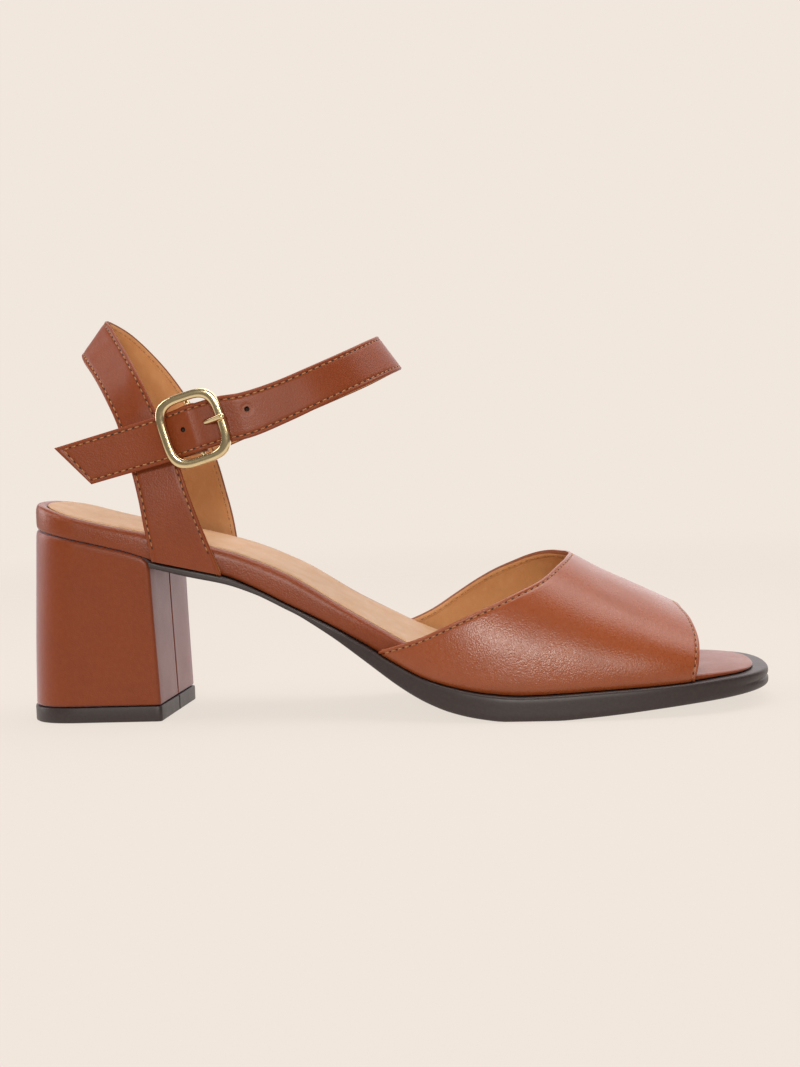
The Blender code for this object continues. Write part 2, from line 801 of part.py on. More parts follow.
def frame_ring():
    """Rounded square ring with a round section."""
    sides = 40
    ring = 8
    power = 2.0 / FRAME_SQUARENESS
    bm = bmesh.new()
    loops = []
    for i in range(sides):
        turn = 2.0 * math.pi * i / sides
        reach_u = math.copysign(abs(math.cos(turn)) ** power, math.cos(turn))
        reach_v = math.copysign(abs(math.sin(turn)) ** power, math.sin(turn))
        loop = []
        for j in range(ring):
            roll = 2.0 * math.pi * (j + 0.5) / ring
            spread = (math.cos(roll) - 1.0) * FRAME_BAR / 2.0
            u = reach_u * (FRAME_LENGTH / 2.0 + spread)
            v = reach_v * (FRAME_WIDTH / 2.0 + spread)
            loop.append(bm.verts.new((u, v, math.sin(roll) * FRAME_DEPTH / 2.0)))
        loops.append(loop)
    for a, b in zip(loops, loops[1:] + loops[:1]):
        for j in range(ring):
            k = (j + 1) % ring
            bm.faces.new((a[j], a[k], b[k], b[j]))
    return bm


def make_buckle_frame(material):
    """Frame with the bar that the leather loop goes round and a rest for the prong."""
    ring = frame_ring()
    frame_y = FRAME_OUTER_Y + FRAME_DEPTH / 2.0
    bmesh.ops.transform(ring, matrix=buckle_matrix(frame_y), verts=ring.verts)
    frame = add_solid("buckle_frame", ring, material)
    place = buckle_matrix(CENTRE_BAR_Y)
    reach = (FRAME_WIDTH - FRAME_BAR) / 2.0
    bar = round_bar((0.0, -reach, 0.0), (0.0, reach, 0.0), CENTRE_BAR_RADIUS)
    add_boolean(frame, add_helper("centre_bar", bar, place), "UNION")
    stand_off = CENTRE_BAR_Y - frame_y
    for name, v in (("lower_lug", -reach), ("upper_lug", reach)):
        lug = round_bar((0.0, v, -LUG_RADIUS), (0.0, v, stand_off), LUG_RADIUS)
        add_boolean(frame, add_helper(name, lug, place), "UNION")
    notch = prong_shape(PRONG_LENGTH / 2.0, PRONG_LENGTH + PRONG_CUT_OVERRUN, CUT_CLEARANCE)
    add_boolean(frame, add_helper("prong_notch", notch, place), "DIFFERENCE")
    return frame


def make_prong(material):
    """Prong that turns on the centre bar and rests on the front bar."""
    place = buckle_matrix(CENTRE_BAR_Y)
    near = PRONG_V - PRONG_TIP_RADIUS
    far = PRONG_V + PRONG_TIP_RADIUS
    eye = round_bar((0.0, near, 0.0), (0.0, far, 0.0), PRONG_EYE_RADIUS, sides=16)
    bmesh.ops.transform(eye, matrix=place, verts=eye.verts)
    prong = add_solid("buckle_prong", eye, material)
    shaft = prong_shape(PRONG_EYE_RADIUS / 2.0, PRONG_LENGTH)
    add_boolean(prong, add_helper("prong_shaft", shaft, place), "UNION")
    bore_radius = CENTRE_BAR_RADIUS + RUNNING_GAP
    bore = round_bar((0.0, near - 1.0, 0.0), (0.0, far + 1.0, 0.0), bore_radius)
    add_boolean(prong, add_helper("prong_bore", bore, place), "DIFFERENCE")
    return prong


def make_buckle_loop(material):
    """Folded leather that holds the centre bar and is sewn to the heel strap."""
    bore_radius = CENTRE_BAR_RADIUS + LAYER_GAP
    outer = bore_radius + LOOP_PLY
    wrap = np.radians(np.linspace(-LOOP_WRAP, LOOP_WRAP, 13))
    profile = [(outer * math.cos(turn), outer * math.sin(turn)) for turn in wrap]
    profile += LOOP_PROFILE
    end_u = min(u for u, w in profile)
    bm = bmesh.new()
    sides = []
    for side in (-0.5, 0.5):
        line = []
        for u, w in profile:
            share = max(0.0, u / end_u)
            width = LOOP_WIDTH_AT_BAR + (LOOP_WIDTH_AT_END - LOOP_WIDTH_AT_BAR) * share
            line.append(bm.verts.new((u, side * width, w)))
        sides.append(line)
    count = len(profile)
    for i in range(count):
        j = (i + 1) % count
        bm.faces.new((sides[0][i], sides[0][j], sides[1][j], sides[1][i]))
    bm.faces.new(sides[0])
    bm.faces.new(sides[1][::-1])
    bmesh.ops.triangulate(bm, faces=[face for face in bm.faces if len(face.verts) > 4])
    place = buckle_matrix(CENTRE_BAR_Y)
    bmesh.ops.transform(bm, matrix=place, verts=bm.verts)
    loop = add_solid("buckle_loop", bm, material)
    reach = LOOP_WIDTH_AT_BAR
    bore = round_bar((0.0, -reach, 0.0), (0.0, reach, 0.0), bore_radius)
    add_boolean(loop, add_helper("loop_bore", bore, place), "DIFFERENCE")
    slot = bmesh.new()
    bmesh.ops.create_cube(slot, size=1.0)
    across = 2.0 * (PRONG_TIP_RADIUS + CUT_CLEARANCE)
    long = LOOP_SLOT_LENGTH
    bmesh.ops.scale(slot, vec=Vector((long, across, long)), verts=slot.verts)
    bmesh.ops.translate(slot, vec=Vector((LOOP_SLOT_U, PRONG_V, 0.0)), verts=slot.verts)
    add_boolean(loop, add_helper("loop_slot", slot, place), "DIFFERENCE")
    return loop


def main():
    """Build every piece of the sandal."""
    clear_scene()
    brown = plain_material("brown_leather", (0.42, 0.13, 0.055), 0.42)
    tan = plain_material("tan_lining", (0.60, 0.31, 0.13), 0.6)
    dark = plain_material("dark_rubber", (0.055, 0.036, 0.034), 0.55)
    gold = plain_material("pale_gold", (0.83, 0.70, 0.42), 0.25, 1.0)
    make_outsole(dark)
    make_heel_lift(dark)
    make_heel(brown)
    make_insole(brown)
    make_sock(tan)
    make_vamp(brown)
    make_straps(brown)
    make_buckle_loop(brown)
    make_buckle_frame(gold)
    make_prong(gold)


main()
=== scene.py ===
# %% [markdown]
# Block heel sandal, right shoe
#
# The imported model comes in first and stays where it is: the floor is at z = 0, the toe
# points along +X and the buckle is on the side at -Y. Each cell below then makes one
# piece of the shoe or one finish. The rough solids are only replaced by pieces of the
# same form, so the shoe keeps its size.

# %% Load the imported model
import math
from collections import namedtuple
from contextlib import contextmanager

import bmesh
import bpy
import numpy as np
from mathutils import Matrix, Vector


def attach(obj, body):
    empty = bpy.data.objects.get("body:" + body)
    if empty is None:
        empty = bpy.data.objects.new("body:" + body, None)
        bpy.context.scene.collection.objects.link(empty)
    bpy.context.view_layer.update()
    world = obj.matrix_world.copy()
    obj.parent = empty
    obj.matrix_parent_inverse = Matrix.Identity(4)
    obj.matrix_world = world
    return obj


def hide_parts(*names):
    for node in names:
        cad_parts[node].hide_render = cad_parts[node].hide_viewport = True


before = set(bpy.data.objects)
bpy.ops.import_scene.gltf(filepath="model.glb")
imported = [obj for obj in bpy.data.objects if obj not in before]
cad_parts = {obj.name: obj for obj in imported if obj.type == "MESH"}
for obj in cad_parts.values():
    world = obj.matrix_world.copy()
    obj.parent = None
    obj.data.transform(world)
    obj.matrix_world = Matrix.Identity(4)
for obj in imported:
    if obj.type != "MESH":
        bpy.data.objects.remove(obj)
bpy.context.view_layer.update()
MM = 0.001
LATERAL = -1.0
MEDIAL = 1.0
print("nodes of the model:", sorted(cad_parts))

# %% [markdown]
# The camera stands close to the shoe, a little above the sole, and is rolled two
# degrees, as the photographer held it. It could be placed by eye. Here its place and
# its turn were fitted to points of the sole and the straps, so the numbers are exact
# and the picture can be compared with the photograph point by point.

# %% Place the camera
CAMERA_PLACE = (0.054162, -0.51907, 0.079242)
CAMERA_YAW = 5.666
CAMERA_PITCH = 2.498
CAMERA_ROLL = -2.209
FOCAL_SHARE = 1589.747 / 800.0
SENSOR_WIDTH = 36.0


def camera_axes(yaw, pitch, roll):
    """Right, up and back of a camera from its three angles in degrees."""
    yaw, pitch, roll = (math.radians(angle) for angle in (yaw, pitch, roll))
    flat = math.cos(pitch)
    back = Vector((math.sin(yaw) * flat, -math.cos(yaw) * flat, math.sin(pitch)))
    level = Vector((math.cos(yaw), math.sin(yaw), 0.0))
    above = back.cross(level)
    right = level * math.cos(roll) + above * math.sin(roll)
    up = above * math.cos(roll) - level * math.sin(roll)
    return right, up, back


bpy.ops.object.select_all(action="DESELECT")
bpy.ops.object.camera_add(location=CAMERA_PLACE)
camera = bpy.context.active_object
camera.name = "camera"
turned = Matrix(camera_axes(CAMERA_YAW, CAMERA_PITCH, CAMERA_ROLL)).transposed().to_4x4()
camera.matrix_world = Matrix.Translation(Vector(CAMERA_PLACE)) @ turned
camera.data.sensor_fit = "HORIZONTAL"
camera.data.sensor_width = SENSOR_WIDTH
camera.data.lens = FOCAL_SHARE * SENSOR_WIDTH
camera.data.clip_start = 0.01
bpy.context.scene.camera = camera
print("camera lens in millimetres:", round(camera.data.lens, 1))

# %% [markdown]
# A finish is a tree of nodes. Wiring each node by hand makes long code, so two small
# helpers do it: a wire takes part in sums as a number does, and a bench adds any
# node from its type, its settings and its inputs. Patterns read the object's own
# millimetres, so they stay on the leather from every side.

# %% Helpers for finishes
class Wire:
    """The output of a node, which can be added and multiplied as a number can."""

    def __init__(self, bench, socket):
        self.bench = bench
        self.socket = socket

    def __add__(self, other):
        return self.bench.maths("ADD", self, other)

    def __mul__(self, other):
        return self.bench.maths("MULTIPLY", self, other)

    __radd__ = __add__
    __rmul__ = __mul__


class Bench:
    """The nodes of one material or world."""

    def __init__(self, owner):
        self.owner = owner
        owner.use_nodes = True
        self.tree = owner.node_tree
        self.shader = self.tree.nodes.get("Principled BSDF")

    def plug(self, socket, value):
        if isinstance(value, Wire):
            self.tree.links.new(value.socket, socket)
        else:
            socket.default_value = value

    def node(self, kind, settings, inputs, output=0):
        made = self.tree.nodes.new(kind)
        for key, value in settings.items():
            setattr(made, key, value)
        for key, value in inputs.items():
            self.plug(made.inputs[key], value)
        return Wire(self, made.outputs[output])

    def maths(self, operation, first, second):
        return self.node("ShaderNodeMath", {"operation": operation}, {0: first, 1: second})

    def place(self):
        return self.node("ShaderNodeTexCoord", {}, {}, "Object")

    def noise(self, size, detail=2.0, stretch=(1.0, 1.0, 1.0)):
        """Soft noise from 0 to 1, with features of a size in millimetres."""
        where = self.node("ShaderNodeMapping", {}, {"Vector": self.place(), "Scale": stretch})
        inputs = {"Vector": where, "Scale": 1.0 / (size * MM), "Detail": detail}
        return self.node("ShaderNodeTexNoise", {}, inputs)

    def cells(self, size):
        """Distance to the middle of grain cells of a size in millimetres."""
        inputs = {"Vector": self.place(), "Scale": 1.0 / (size * MM)}
        return self.node("ShaderNodeTexVoronoi", {}, inputs)

    def step(self, value, low, high):
        """From 0 to 1 as a value goes from low to high, smooth at both ends."""
        inputs = {"Value": value, "From Min": low, "From Max": high}
        return self.node("ShaderNodeMapRange", {"interpolation_type": "SMOOTHSTEP"}, inputs)

    def mix(self, share, first, second):
        inputs = {0: share, 6: first, 7: second}
        return self.node("ShaderNodeMix", {"data_type": "RGBA"}, inputs, 2)

    def finish(self, colour, roughness, height=None, **constant):
        """Plug the varying inputs and set the constant ones on the shader."""
        self.plug(self.shader.inputs["Base Color"], colour)
        self.plug(self.shader.inputs["Roughness"], roughness)
        if height is not None:
            inputs = {"Strength": 1.0, "Distance": MM, "Height": height}
            self.plug(self.shader.inputs["Normal"], self.node("ShaderNodeBump", {}, inputs))
        for name, value in constant.items():
            self.shader.inputs[name.replace("_", " ")].default_value = value
        return self.owner


def new_finish(name):
    """Bench of a new material."""
    return Bench(bpy.data.materials.new(name))


print("finish helpers are ready")

# %% [markdown]
# A photo studio for shoes is a pale sweep of paper with large soft lights round it. A
# modelled sweep would need its lighting evened out. Here a flat floor glows in the
# paper's colour, takes the soft shadow and fades into a world of the same colour, so
# floor and backdrop meet with no line. The soft boxes above, behind and beside the shoe
# give the leather its pale sheen on top and along its left edges.

# %% Set up the floor, the backdrop and the lights
PAPER = (0.880, 0.799, 0.723, 1.0)
SHADE_SHARE = 0.11
GLOW = 0.85
FLOOR_SIZE = 3.0
FLOOR_Z = -0.0002
FLOOR_FADE = (0.35, 1.2)
FILL_STRENGTH = 0.24
SoftBox = namedtuple("SoftBox", "name place aim size power colour")
MIDDLE = (0.0, 0.0, 0.05)
ANKLE = (-0.06, 0.0, 0.06)


def table(kind, *rows):
    """Rows of numbers as named rows."""
    return [kind(*row) for row in rows]


SOFT_BOXES = table(
    SoftBox,
    ("front_left_box", (-0.08, -1.20, 0.37), MIDDLE, 0.18, 4.9, (1.0, 0.97, 0.92)),
    ("front_right_box", (0.38, -1.12, 0.42), MIDDLE, 0.28, 2.2, (1.0, 0.95, 0.88)),
    ("top_box", (0.05, 0.05, 0.85), (0.02, 0.0, 0.04), 0.6, 4.5, (1.0, 0.96, 0.93)),
    ("backdrop_box", (0.2, 1.3, 0.45), MIDDLE, 2.2, 17.0, (1.0, 0.93, 0.95)),
    ("high_left_box", (-0.63, -0.25, 0.6), ANKLE, 0.35, 1.6, (1.0, 0.95, 0.93)),
    ("left_box", (-0.8, 0.15, 0.3), ANKLE, 0.5, 2.5, (1.0, 0.92, 0.93)),
    ("right_box", (0.60, 0.05, 0.76), (0.0, 0.0, 0.04), 0.6, 2.8, (1.0, 0.94, 0.94)),
)

bpy.ops.mesh.primitive_plane_add(size=FLOOR_SIZE, location=(0.0, 0.0, FLOOR_Z))
floor = bpy.context.active_object
floor.name = "floor"
bench = new_finish("pale_paper")
shade = (*(SHADE_SHARE * tone for tone in PAPER[:3]), 1.0)
floor.data.materials.append(bench.finish(
    shade, 0.9, Specular_IOR_Level=0.0, Emission_Color=PAPER, Emission_Strength=GLOW))
reach = bench.node("ShaderNodeVectorMath", {"operation": "LENGTH"}, {0: bench.place()}, "Value")
sheet = Wire(bench, bench.shader.outputs["BSDF"])
clear = bench.node("ShaderNodeBsdfTransparent", {}, {})
layers = {0: bench.step(reach, *FLOOR_FADE), 1: sheet, 2: clear}
bench.plug(bench.tree.nodes["Material Output"].inputs["Surface"],
           bench.node("ShaderNodeMixShader", {}, layers))

world = bpy.data.worlds.new("studio")
bpy.context.scene.world = world
air = Bench(world)
sky = air.tree.nodes["Background"].inputs
seen = air.node("ShaderNodeLightPath", {}, {}, "Is Camera Ray")
air.plug(sky["Color"], PAPER)
fill = air.node("ShaderNodeMapRange", {}, {"Value": seen, "To Min": FILL_STRENGTH})
air.plug(sky["Strength"], fill)

for box in SOFT_BOXES:
    bpy.ops.object.light_add(type="AREA", location=box.place)
    lamp = bpy.context.active_object
    lamp.name = box.name
    toward = Vector(box.aim) - Vector(box.place)
    lamp.rotation_euler = toward.to_track_quat("-Z", "Y").to_euler()
    lamp.data.size = box.size
    lamp.data.energy = box.power
    lamp.data.color = box.colour
bpy.context.scene.view_settings.view_transform = "Standard"
print("soft boxes:", len(SOFT_BOXES))

# %% [markdown]
# The upper is smooth full grain calf, dyed chestnut and polished. Its skin has a very
# fine pebble, and the colour is a little uneven, as polish is. An image of leather
# would repeat. Here cells about half a millimetre wide give the grain, and two sizes of
# noise vary the colour and the gloss. A thin coat on top gives the pale sheen.

# %% Chestnut leather
Tones = namedtuple("Tones", "base dark light")
CHESTNUT = Tones(
    (0.275, 0.060, 0.0145, 1.0), (0.205, 0.040, 0.0090, 1.0), (0.340, 0.092, 0.027, 1.0))
DEEP = Tones(
    (0.212, 0.040, 0.0075, 1.0), (0.165, 0.030, 0.0058, 1.0), (0.270, 0.062, 0.0150, 1.0))
SHEEN_TINT = (0.85, 0.82, 1.0, 1.0)
COAT_SHARE = 0.25
CLOUD_SIZE = 16.0
FLECK_SIZE = 1.3
RIPPLE_SIZE = 3.2
PORE_SIZE = 0.55
PEBBLE_SIZE = 0.42


def leather(name, tones, gloss, grain, shine, sheen):
    """Smooth leather with fine grain and soft clouds of polish."""
    bench = new_finish(name)
    cloud = bench.step(bench.noise(CLOUD_SIZE, 3.0), 0.35, 0.7)
    fleck = bench.step(bench.noise(FLECK_SIZE, 4.0), 0.3, 0.75)
    colour = bench.mix(cloud * 0.35, tones.base, tones.dark)
    colour = bench.mix(fleck * 0.22, colour, tones.light)
    relief = bench.noise(PEBBLE_SIZE, 3.0) * grain * 0.05 + bench.cells(PORE_SIZE) * grain * -0.05
    return bench.finish(
        colour, gloss + cloud * 0.06 + fleck * 0.05,
        relief + bench.noise(RIPPLE_SIZE, 2.0) * grain * 0.035,
        Specular_IOR_Level=shine, Coat_Weight=shine * COAT_SHARE, Coat_Roughness=0.25,
        Sheen_Weight=sheen, Sheen_Roughness=0.4, Sheen_Tint=SHEEN_TINT,
    )


calf = leather("chestnut_calf", CHESTNUT, 0.25, 1.0, 0.48, 0.03)
strap_calf = leather("chestnut_strap", DEEP, 0.36, 0.8, 0.26, 0.05)
rand_calf = leather("chestnut_rand", DEEP, 0.33, 1.2, 0.34, 0.08)
heel_calf = leather("chestnut_heel_cover", DEEP, 0.34, 0.6, 0.26, 0.45)
print("leathers:", calf.name, heel_calf.name)

# %% [markdown]
# The lining is vegetable tanned leather with no dye, matt and warm, with small wrinkles.
# The sock is the same leather pressed flat; its tones are that tan made paler and greyer,
# a painted sheen of the pale backdrop on its flat top. Cut edges are dyed a darker brown,
# and they are duller than the skin. Edges and thread are both fibres in two tones, so one
# function makes both.

# %% Lining, sock, cut edge and thread
LINING = Tones(
    (0.620, 0.310, 0.125, 1.0), (0.480, 0.205, 0.070, 1.0), (0.700, 0.400, 0.190, 1.0))
# The sock's tones: real tan, painted paler and greyer as sheen.
SOCK_TAN_AND_PAINTED_SHEEN = Tones(
    (0.500, 0.310, 0.172, 1.0), (0.440, 0.250, 0.120, 1.0), (0.570, 0.385, 0.235, 1.0))
EDGE_BROWN = (0.250, 0.072, 0.026, 1.0)
EDGE_LIGHT = (0.29, 0.11, 0.050, 1.0)
THREAD = (0.46, 0.22, 0.085, 1.0)
THREAD_DARK = (0.28, 0.11, 0.040, 1.0)


def lining_leather(name, tones, wrinkle):
    """Undyed leather: matt, cloudy and finely wrinkled."""
    bench = new_finish(name)
    cloud = bench.step(bench.noise(9.0, 4.0), 0.3, 0.7)
    vein = bench.noise(2.2, 3.0, (1.0, 0.35, 0.6))
    colour = bench.mix(cloud * 0.3, tones.base, tones.dark)
    colour = bench.mix(bench.step(vein, 0.45, 0.75) * 0.3, colour, tones.light)
    height = vein * wrinkle * 0.22 + bench.noise(0.5, 2.0) * 0.03
    return bench.finish(colour, cloud * 0.1 + 0.5, height, Specular_IOR_Level=0.35)


def fibres(name, size, detail, spread, dark, light, roughness, bump):
    """Two tones that change within a small size, with a little relief."""
    bench = new_finish(name)
    fibre = bench.noise(size, detail)
    colour = bench.mix(bench.step(fibre, *spread), dark, light)
    return bench.finish(colour, roughness, fibre * bump)


lining = lining_leather("tan_lining", LINING, 1.0)
sock_tan_and_painted_sheen = lining_leather("tan_sock_and_painted_sheen", SOCK_TAN_AND_PAINTED_SHEEN, 0.4)
cut_edge = fibres("dyed_cut_edge", 0.7, 4.0, (0.35, 0.7), EDGE_BROWN, EDGE_LIGHT, 0.55, 0.06)
thread = fibres("waxed_thread", 0.35, 2.0, (0.3, 0.7), THREAD_DARK, THREAD, 0.5, 0.05)
print("linings and fibres:", lining.name, sock_tan_and_painted_sheen.name, cut_edge.name, thread.name)

# %% [markdown]
# The sole and the heel's top piece are dark brown rubber, nearly smooth. A polished
# rubber still has a fine mottle, which shows as a soft grey bloom on faces that look up.
# The buckle is plated with pale gold. Metal is nearly all reflection, so its look
# comes from a low roughness with faint handling marks that break the highlights.

# %% Dark rubber, pale gold and painted hole shade
RUBBER = (0.026, 0.0165, 0.0155, 1.0)
RUBBER_LIGHT = (0.040, 0.027, 0.026, 1.0)
GOLD = (0.80, 0.655, 0.385, 1.0)
GOLD_DULL = (0.62, 0.47, 0.25, 1.0)
# Near-black painted shade for the insides of needle holes and punched holes.
PAINTED_HOLE_SHADE = (0.012, 0.004, 0.002, 1.0)

bench = new_finish("dark_rubber")
mottle = bench.step(bench.noise(0.9, 5.0), 0.35, 0.75)
colour = bench.mix(mottle * 0.5, RUBBER, RUBBER_LIGHT)
rubber = bench.finish(colour, bench.noise(3.5, 2.0) * 0.12 + 0.36, mottle * 0.008)

bench = new_finish("pale_gold")
haze = bench.noise(3.0, 4.0)
scratch = bench.noise(0.6, 2.0, (1.0, 1.0, 5.0))
colour = bench.mix(bench.step(haze, 0.4, 0.8) * 0.5, GOLD, GOLD_DULL)
gold = bench.finish(colour, haze * 0.10 + 0.08, scratch * 0.0005, Metallic=1.0)

# Painted shade: a near-black finish, flecked with dark thread, stands in for the shade inside
# holes.
bench = new_finish("hole_painted_shade")
hole_shade_paint = bench.finish(bench.mix(bench.noise(0.3, 2.0) * 0.2, PAINTED_HOLE_SHADE, THREAD_DARK), 0.8)
print("small finishes:", rubber.name, gold.name, hole_shade_paint.name)

# %% [markdown]
# The last gives a shoe its form. Its outline and heights are kept in short tables, in
# millimetres, and a smooth curve runs through each table. Every piece below reads the
# same curves, so the pieces fit each other as they do on the last.

# %% Curves of the last
Width = namedtuple("Width", "x lateral medial")
Tip = namedtuple("Tip", "x y lateral_square medial_square")
Height = namedtuple("Height", "x z")
Rise = namedtuple("Rise", "x insole feather")

INSOLE_WIDTHS = table(
    Width,
    (-97.0, 26.2, 26.2), (-85.0, 26.6, 26.2), (-70.0, 26.2, 24.9), (-50.0, 25.0, 22.8),
    (-35.0, 24.4, 21.7), (-20.0, 24.6, 21.2), (-10.0, 25.8, 22.4), (0.0, 28.3, 25.2),
    (12.0, 32.4, 30.6), (25.0, 35.4, 34.6), (36.0, 36.7, 36.2), (47.0, 37.1, 36.9),
)
INSOLE_BACK = Tip(-117.1, 0.0, 2.4, 2.4)
INSOLE_FRONT = Tip(115.0, 3.0, 2.7, 2.85)
OUTSOLE_WIDTHS = table(
    Width,
    (-74.6, 28.4, 27.2), (-62.0, 28.2, 26.4), (-50.0, 27.0, 24.6), (-35.0, 25.2, 22.5),
    (-20.0, 25.6, 22.4), (-10.0, 27.8, 25.6), (-2.0, 30.8, 28.4), (5.0, 33.2, 31.5),
    (12.0, 35.6, 34.4), (25.0, 39.2, 38.7), (36.0, 40.9, 40.6), (47.0, 41.3, 41.3),
)
OUTSOLE_FRONT = Tip(120.0, 3.0, 2.45, 2.95)
FEATHER = table(
    Height,
    (-119.0, 63.5), (-110.0, 61.5), (-99.0, 58.9), (-90.0, 56.7), (-83.0, 54.9),
    (-78.0, 53.2), (-73.0, 51.3), (-62.0, 48.7), (-51.0, 46.0), (-43.0, 42.5),
    (-31.7, 36.5), (-20.5, 30.7), (-9.0, 24.3), (4.0, 16.9), (12.3, 12.9), (21.9, 10.2),
    (31.3, 8.5), (42.0, 7.7), (53.0, 8.0), (65.0, 8.6), (80.0, 9.2), (94.0, 9.9),
    (104.0, 10.5), (121.0, 10.7),
)
INSOLE_TOP = table(
    Height,
    (-119.0, 72.3), (-110.0, 69.5), (-100.0, 66.2), (-92.0, 64.0), (-80.0, 61.2),
    (-62.0, 57.0), (-50.0, 53.7), (-40.0, 49.8), (-30.0, 44.9), (-14.6, 35.2),
    (-3.3, 28.7), (6.6, 23.3), (16.0, 19.2), (26.0, 16.0), (36.0, 13.8), (46.0, 12.8),
    (60.0, 12.2), (75.0, 11.9), (90.0, 11.7), (104.0, 11.7), (115.0, 11.5),
)
TREAD = table(
    Height,
    (-75.5, 49.7), (-62.7, 46.3), (-50.0, 43.2), (-43.3, 40.6), (-31.0, 34.4),
    (-18.4, 26.2), (-5.6, 17.0), (6.0, 9.0), (13.0, 5.3), (20.0, 2.7), (29.0, 0.8),
    (37.0, 0.0), (52.0, 0.0), (62.0, 0.6), (72.0, 1.4), (83.0, 2.4), (94.0, 3.3),
    (104.0, 4.0), (121.0, 5.3),
)
MEDIAL_RISE = table(
    Rise,
    (-119.0, 0.2, 0.0), (-105.0, 0.8, 0.0), (-5.0, 0.9, 0.0), (20.0, 0.4, 0.0),
    (45.0, 0.0, 0.0), (80.0, 0.0, 0.0), (92.0, 0.3, 0.6), (102.0, 0.5, 1.0),
    (112.0, 0.6, 1.0), (121.0, 0.3, 0.4),
)
RISE_HALF_WIDTH = 22.0


def bell(distance, width):
    """A soft hump: 1 in the middle and nearly 0 at twice its width."""
    return np.exp(-(distance / width) ** 2)


def through_rows(rows, column, places):
    """Smooth curve over the first column of a table that never passes its own peaks."""
    at = np.array([row[0] for row in rows])
    value = np.array([getattr(row, column) for row in rows])
    step = np.diff(at)
    rise = np.diff(value) / step
    slope = np.zeros(len(at))
    for i in range(1, len(at) - 1):
        if rise[i - 1] * rise[i] > 0.0:
            before = 2.0 * step[i] + step[i - 1]
            after = step[i] + 2.0 * step[i - 1]
            slope[i] = (before + after) / (before / rise[i - 1] + after / rise[i])
    slope[0] = rise[0]
    slope[-1] = rise[-1]
    places = np.clip(np.asarray(places, dtype=float), at[0], at[-1])
    k = np.clip(np.searchsorted(at, places) - 1, 0, len(step) - 1)
    t = (places - at[k]) / step[k]
    start = value[k] * (1.0 + 2.0 * t) * (1.0 - t) ** 2
    end = value[k + 1] * t * t * (3.0 - 2.0 * t)
    leave = slope[k] * step[k] * t * (1.0 - t) ** 2
    arrive = slope[k + 1] * step[k] * t * t * (t - 1.0)
    return start + end + leave + arrive


def medial_rise(x, y, column):
    """Extra height that grows evenly from the lateral to the medial side."""
    share = np.clip(0.5 + np.asarray(y) / (2.0 * RISE_HALF_WIDTH), 0.0, 1.0)
    return through_rows(MEDIAL_RISE, column, x) * share


def feather_height(x, y):
    """Underside of the insole."""
    return through_rows(FEATHER, "z", x) + medial_rise(x, y, "feather")


def insole_height(x, y):
    """Crest of the wrapped insole edge."""
    return through_rows(INSOLE_TOP, "z", x) + medial_rise(x, y, "insole")


print("feather line at the ball:", float(feather_height(42.0, 0.0)), "mm")

# %% [markdown]
# Outlines from above are drawn as two halves with as many points each, a lateral and a
# medial one, with rounded ends. Two moves change an outline: it is set in by a
# distance, as a knife follows an edge, or it shrinks towards the middle line of the
# shoe, which closes the flat faces of a piece with even quads and no hole.

# %% Helpers for outlines
def round_end(join, tip, square, count):
    """Quarter of a superellipse from the end of a side to the tip."""
    angle = np.linspace(0.0, math.pi / 2.0, count + 1)[1:]
    along = np.sin(angle) ** (2.0 / square)
    across = np.clip(np.cos(angle), 0.0, 1.0) ** (2.0 / square)
    x = join[0] + (tip.x - join[0]) * along
    y = tip.y + (join[1] - tip.y) * across
    return np.stack([x, y], axis=1)


def way_along(line):
    """Distance from the start of a line to each of its points."""
    return np.concatenate([[0.0], np.cumsum(np.linalg.norm(np.diff(line, axis=0), axis=1))])


def even_points(line, count):
    """The same line with evenly spaced points."""
    way = way_along(line)
    at = np.linspace(0.0, way[-1], count)
    return np.stack([np.interp(at, way, line[:, k]) for k in range(line.shape[1])], axis=1)


def full_outline(rows, back, front, count):
    """Lateral and medial halves of an outline, from the back to the front."""
    halves = []
    for side, column in ((LATERAL, "lateral"), (MEDIAL, "medial")):
        x = np.linspace(rows[0].x, rows[-1].x, 80)
        points = np.stack([x, side * through_rows(rows, column, x)], axis=1)
        if back is not None:
            end = round_end(points[0], back, getattr(back, column + "_square"), 60)
            points = np.vstack([end[::-1], points])
        if front is not None:
            end = round_end(points[-1], front, getattr(front, column + "_square"), 60)
            points = np.vstack([points, end])
        halves.append(even_points(points, count))
    return halves


def inset(outline, distance):
    """Move both halves of an outline towards the inside of the shoe."""
    lateral, medial = outline
    moved = []
    for half, side in zip(outline, (LATERAL, MEDIAL)):
        run = np.gradient(half, axis=0)
        run /= np.linalg.norm(run, axis=1)[:, None]
        inward = np.stack([run[:, 1], -run[:, 0]], axis=1) * side
        if np.allclose(lateral[0], medial[0]):
            inward[0] = (1.0, 0.0)
        if np.allclose(lateral[-1], medial[-1]):
            inward[-1] = (-1.0, 0.0)
        moved.append(half + inward * distance)
    return moved


def shrink(outline, share, end_room):
    """Draw an outline in towards a middle line that stops short of both ends."""
    middle = (outline[0] + outline[1]) / 2.0
    low, high = middle[0, 0], middle[-1, 0]
    centre = (low + high) / 2.0
    reach = (high - low) / 2.0
    middle[:, 0] = centre + (middle[:, 0] - centre) * (reach - end_room) / reach
    return [middle + (half - middle) * share for half in outline]


def ring(outline, height, *more):
    """Closed loop of points with heights from a function of x, y and more values."""
    lateral, medial = outline
    loop = np.vstack([lateral, medial[::-1], lateral[:1]])
    return np.column_stack([loop, height(loop[:, 0], loop[:, 1], *more)])


print("outline helpers are ready")

# %% [markdown]
# Each surface starts as a grid primitive, and its points are then set on the curves of
# the last. Pulling a grid by hand could never match a last this closely. A closed piece
# is a grid rolled into a tube, whose ends shrink to a line or a point, and merging its
# doubles closes the seam and both ends.

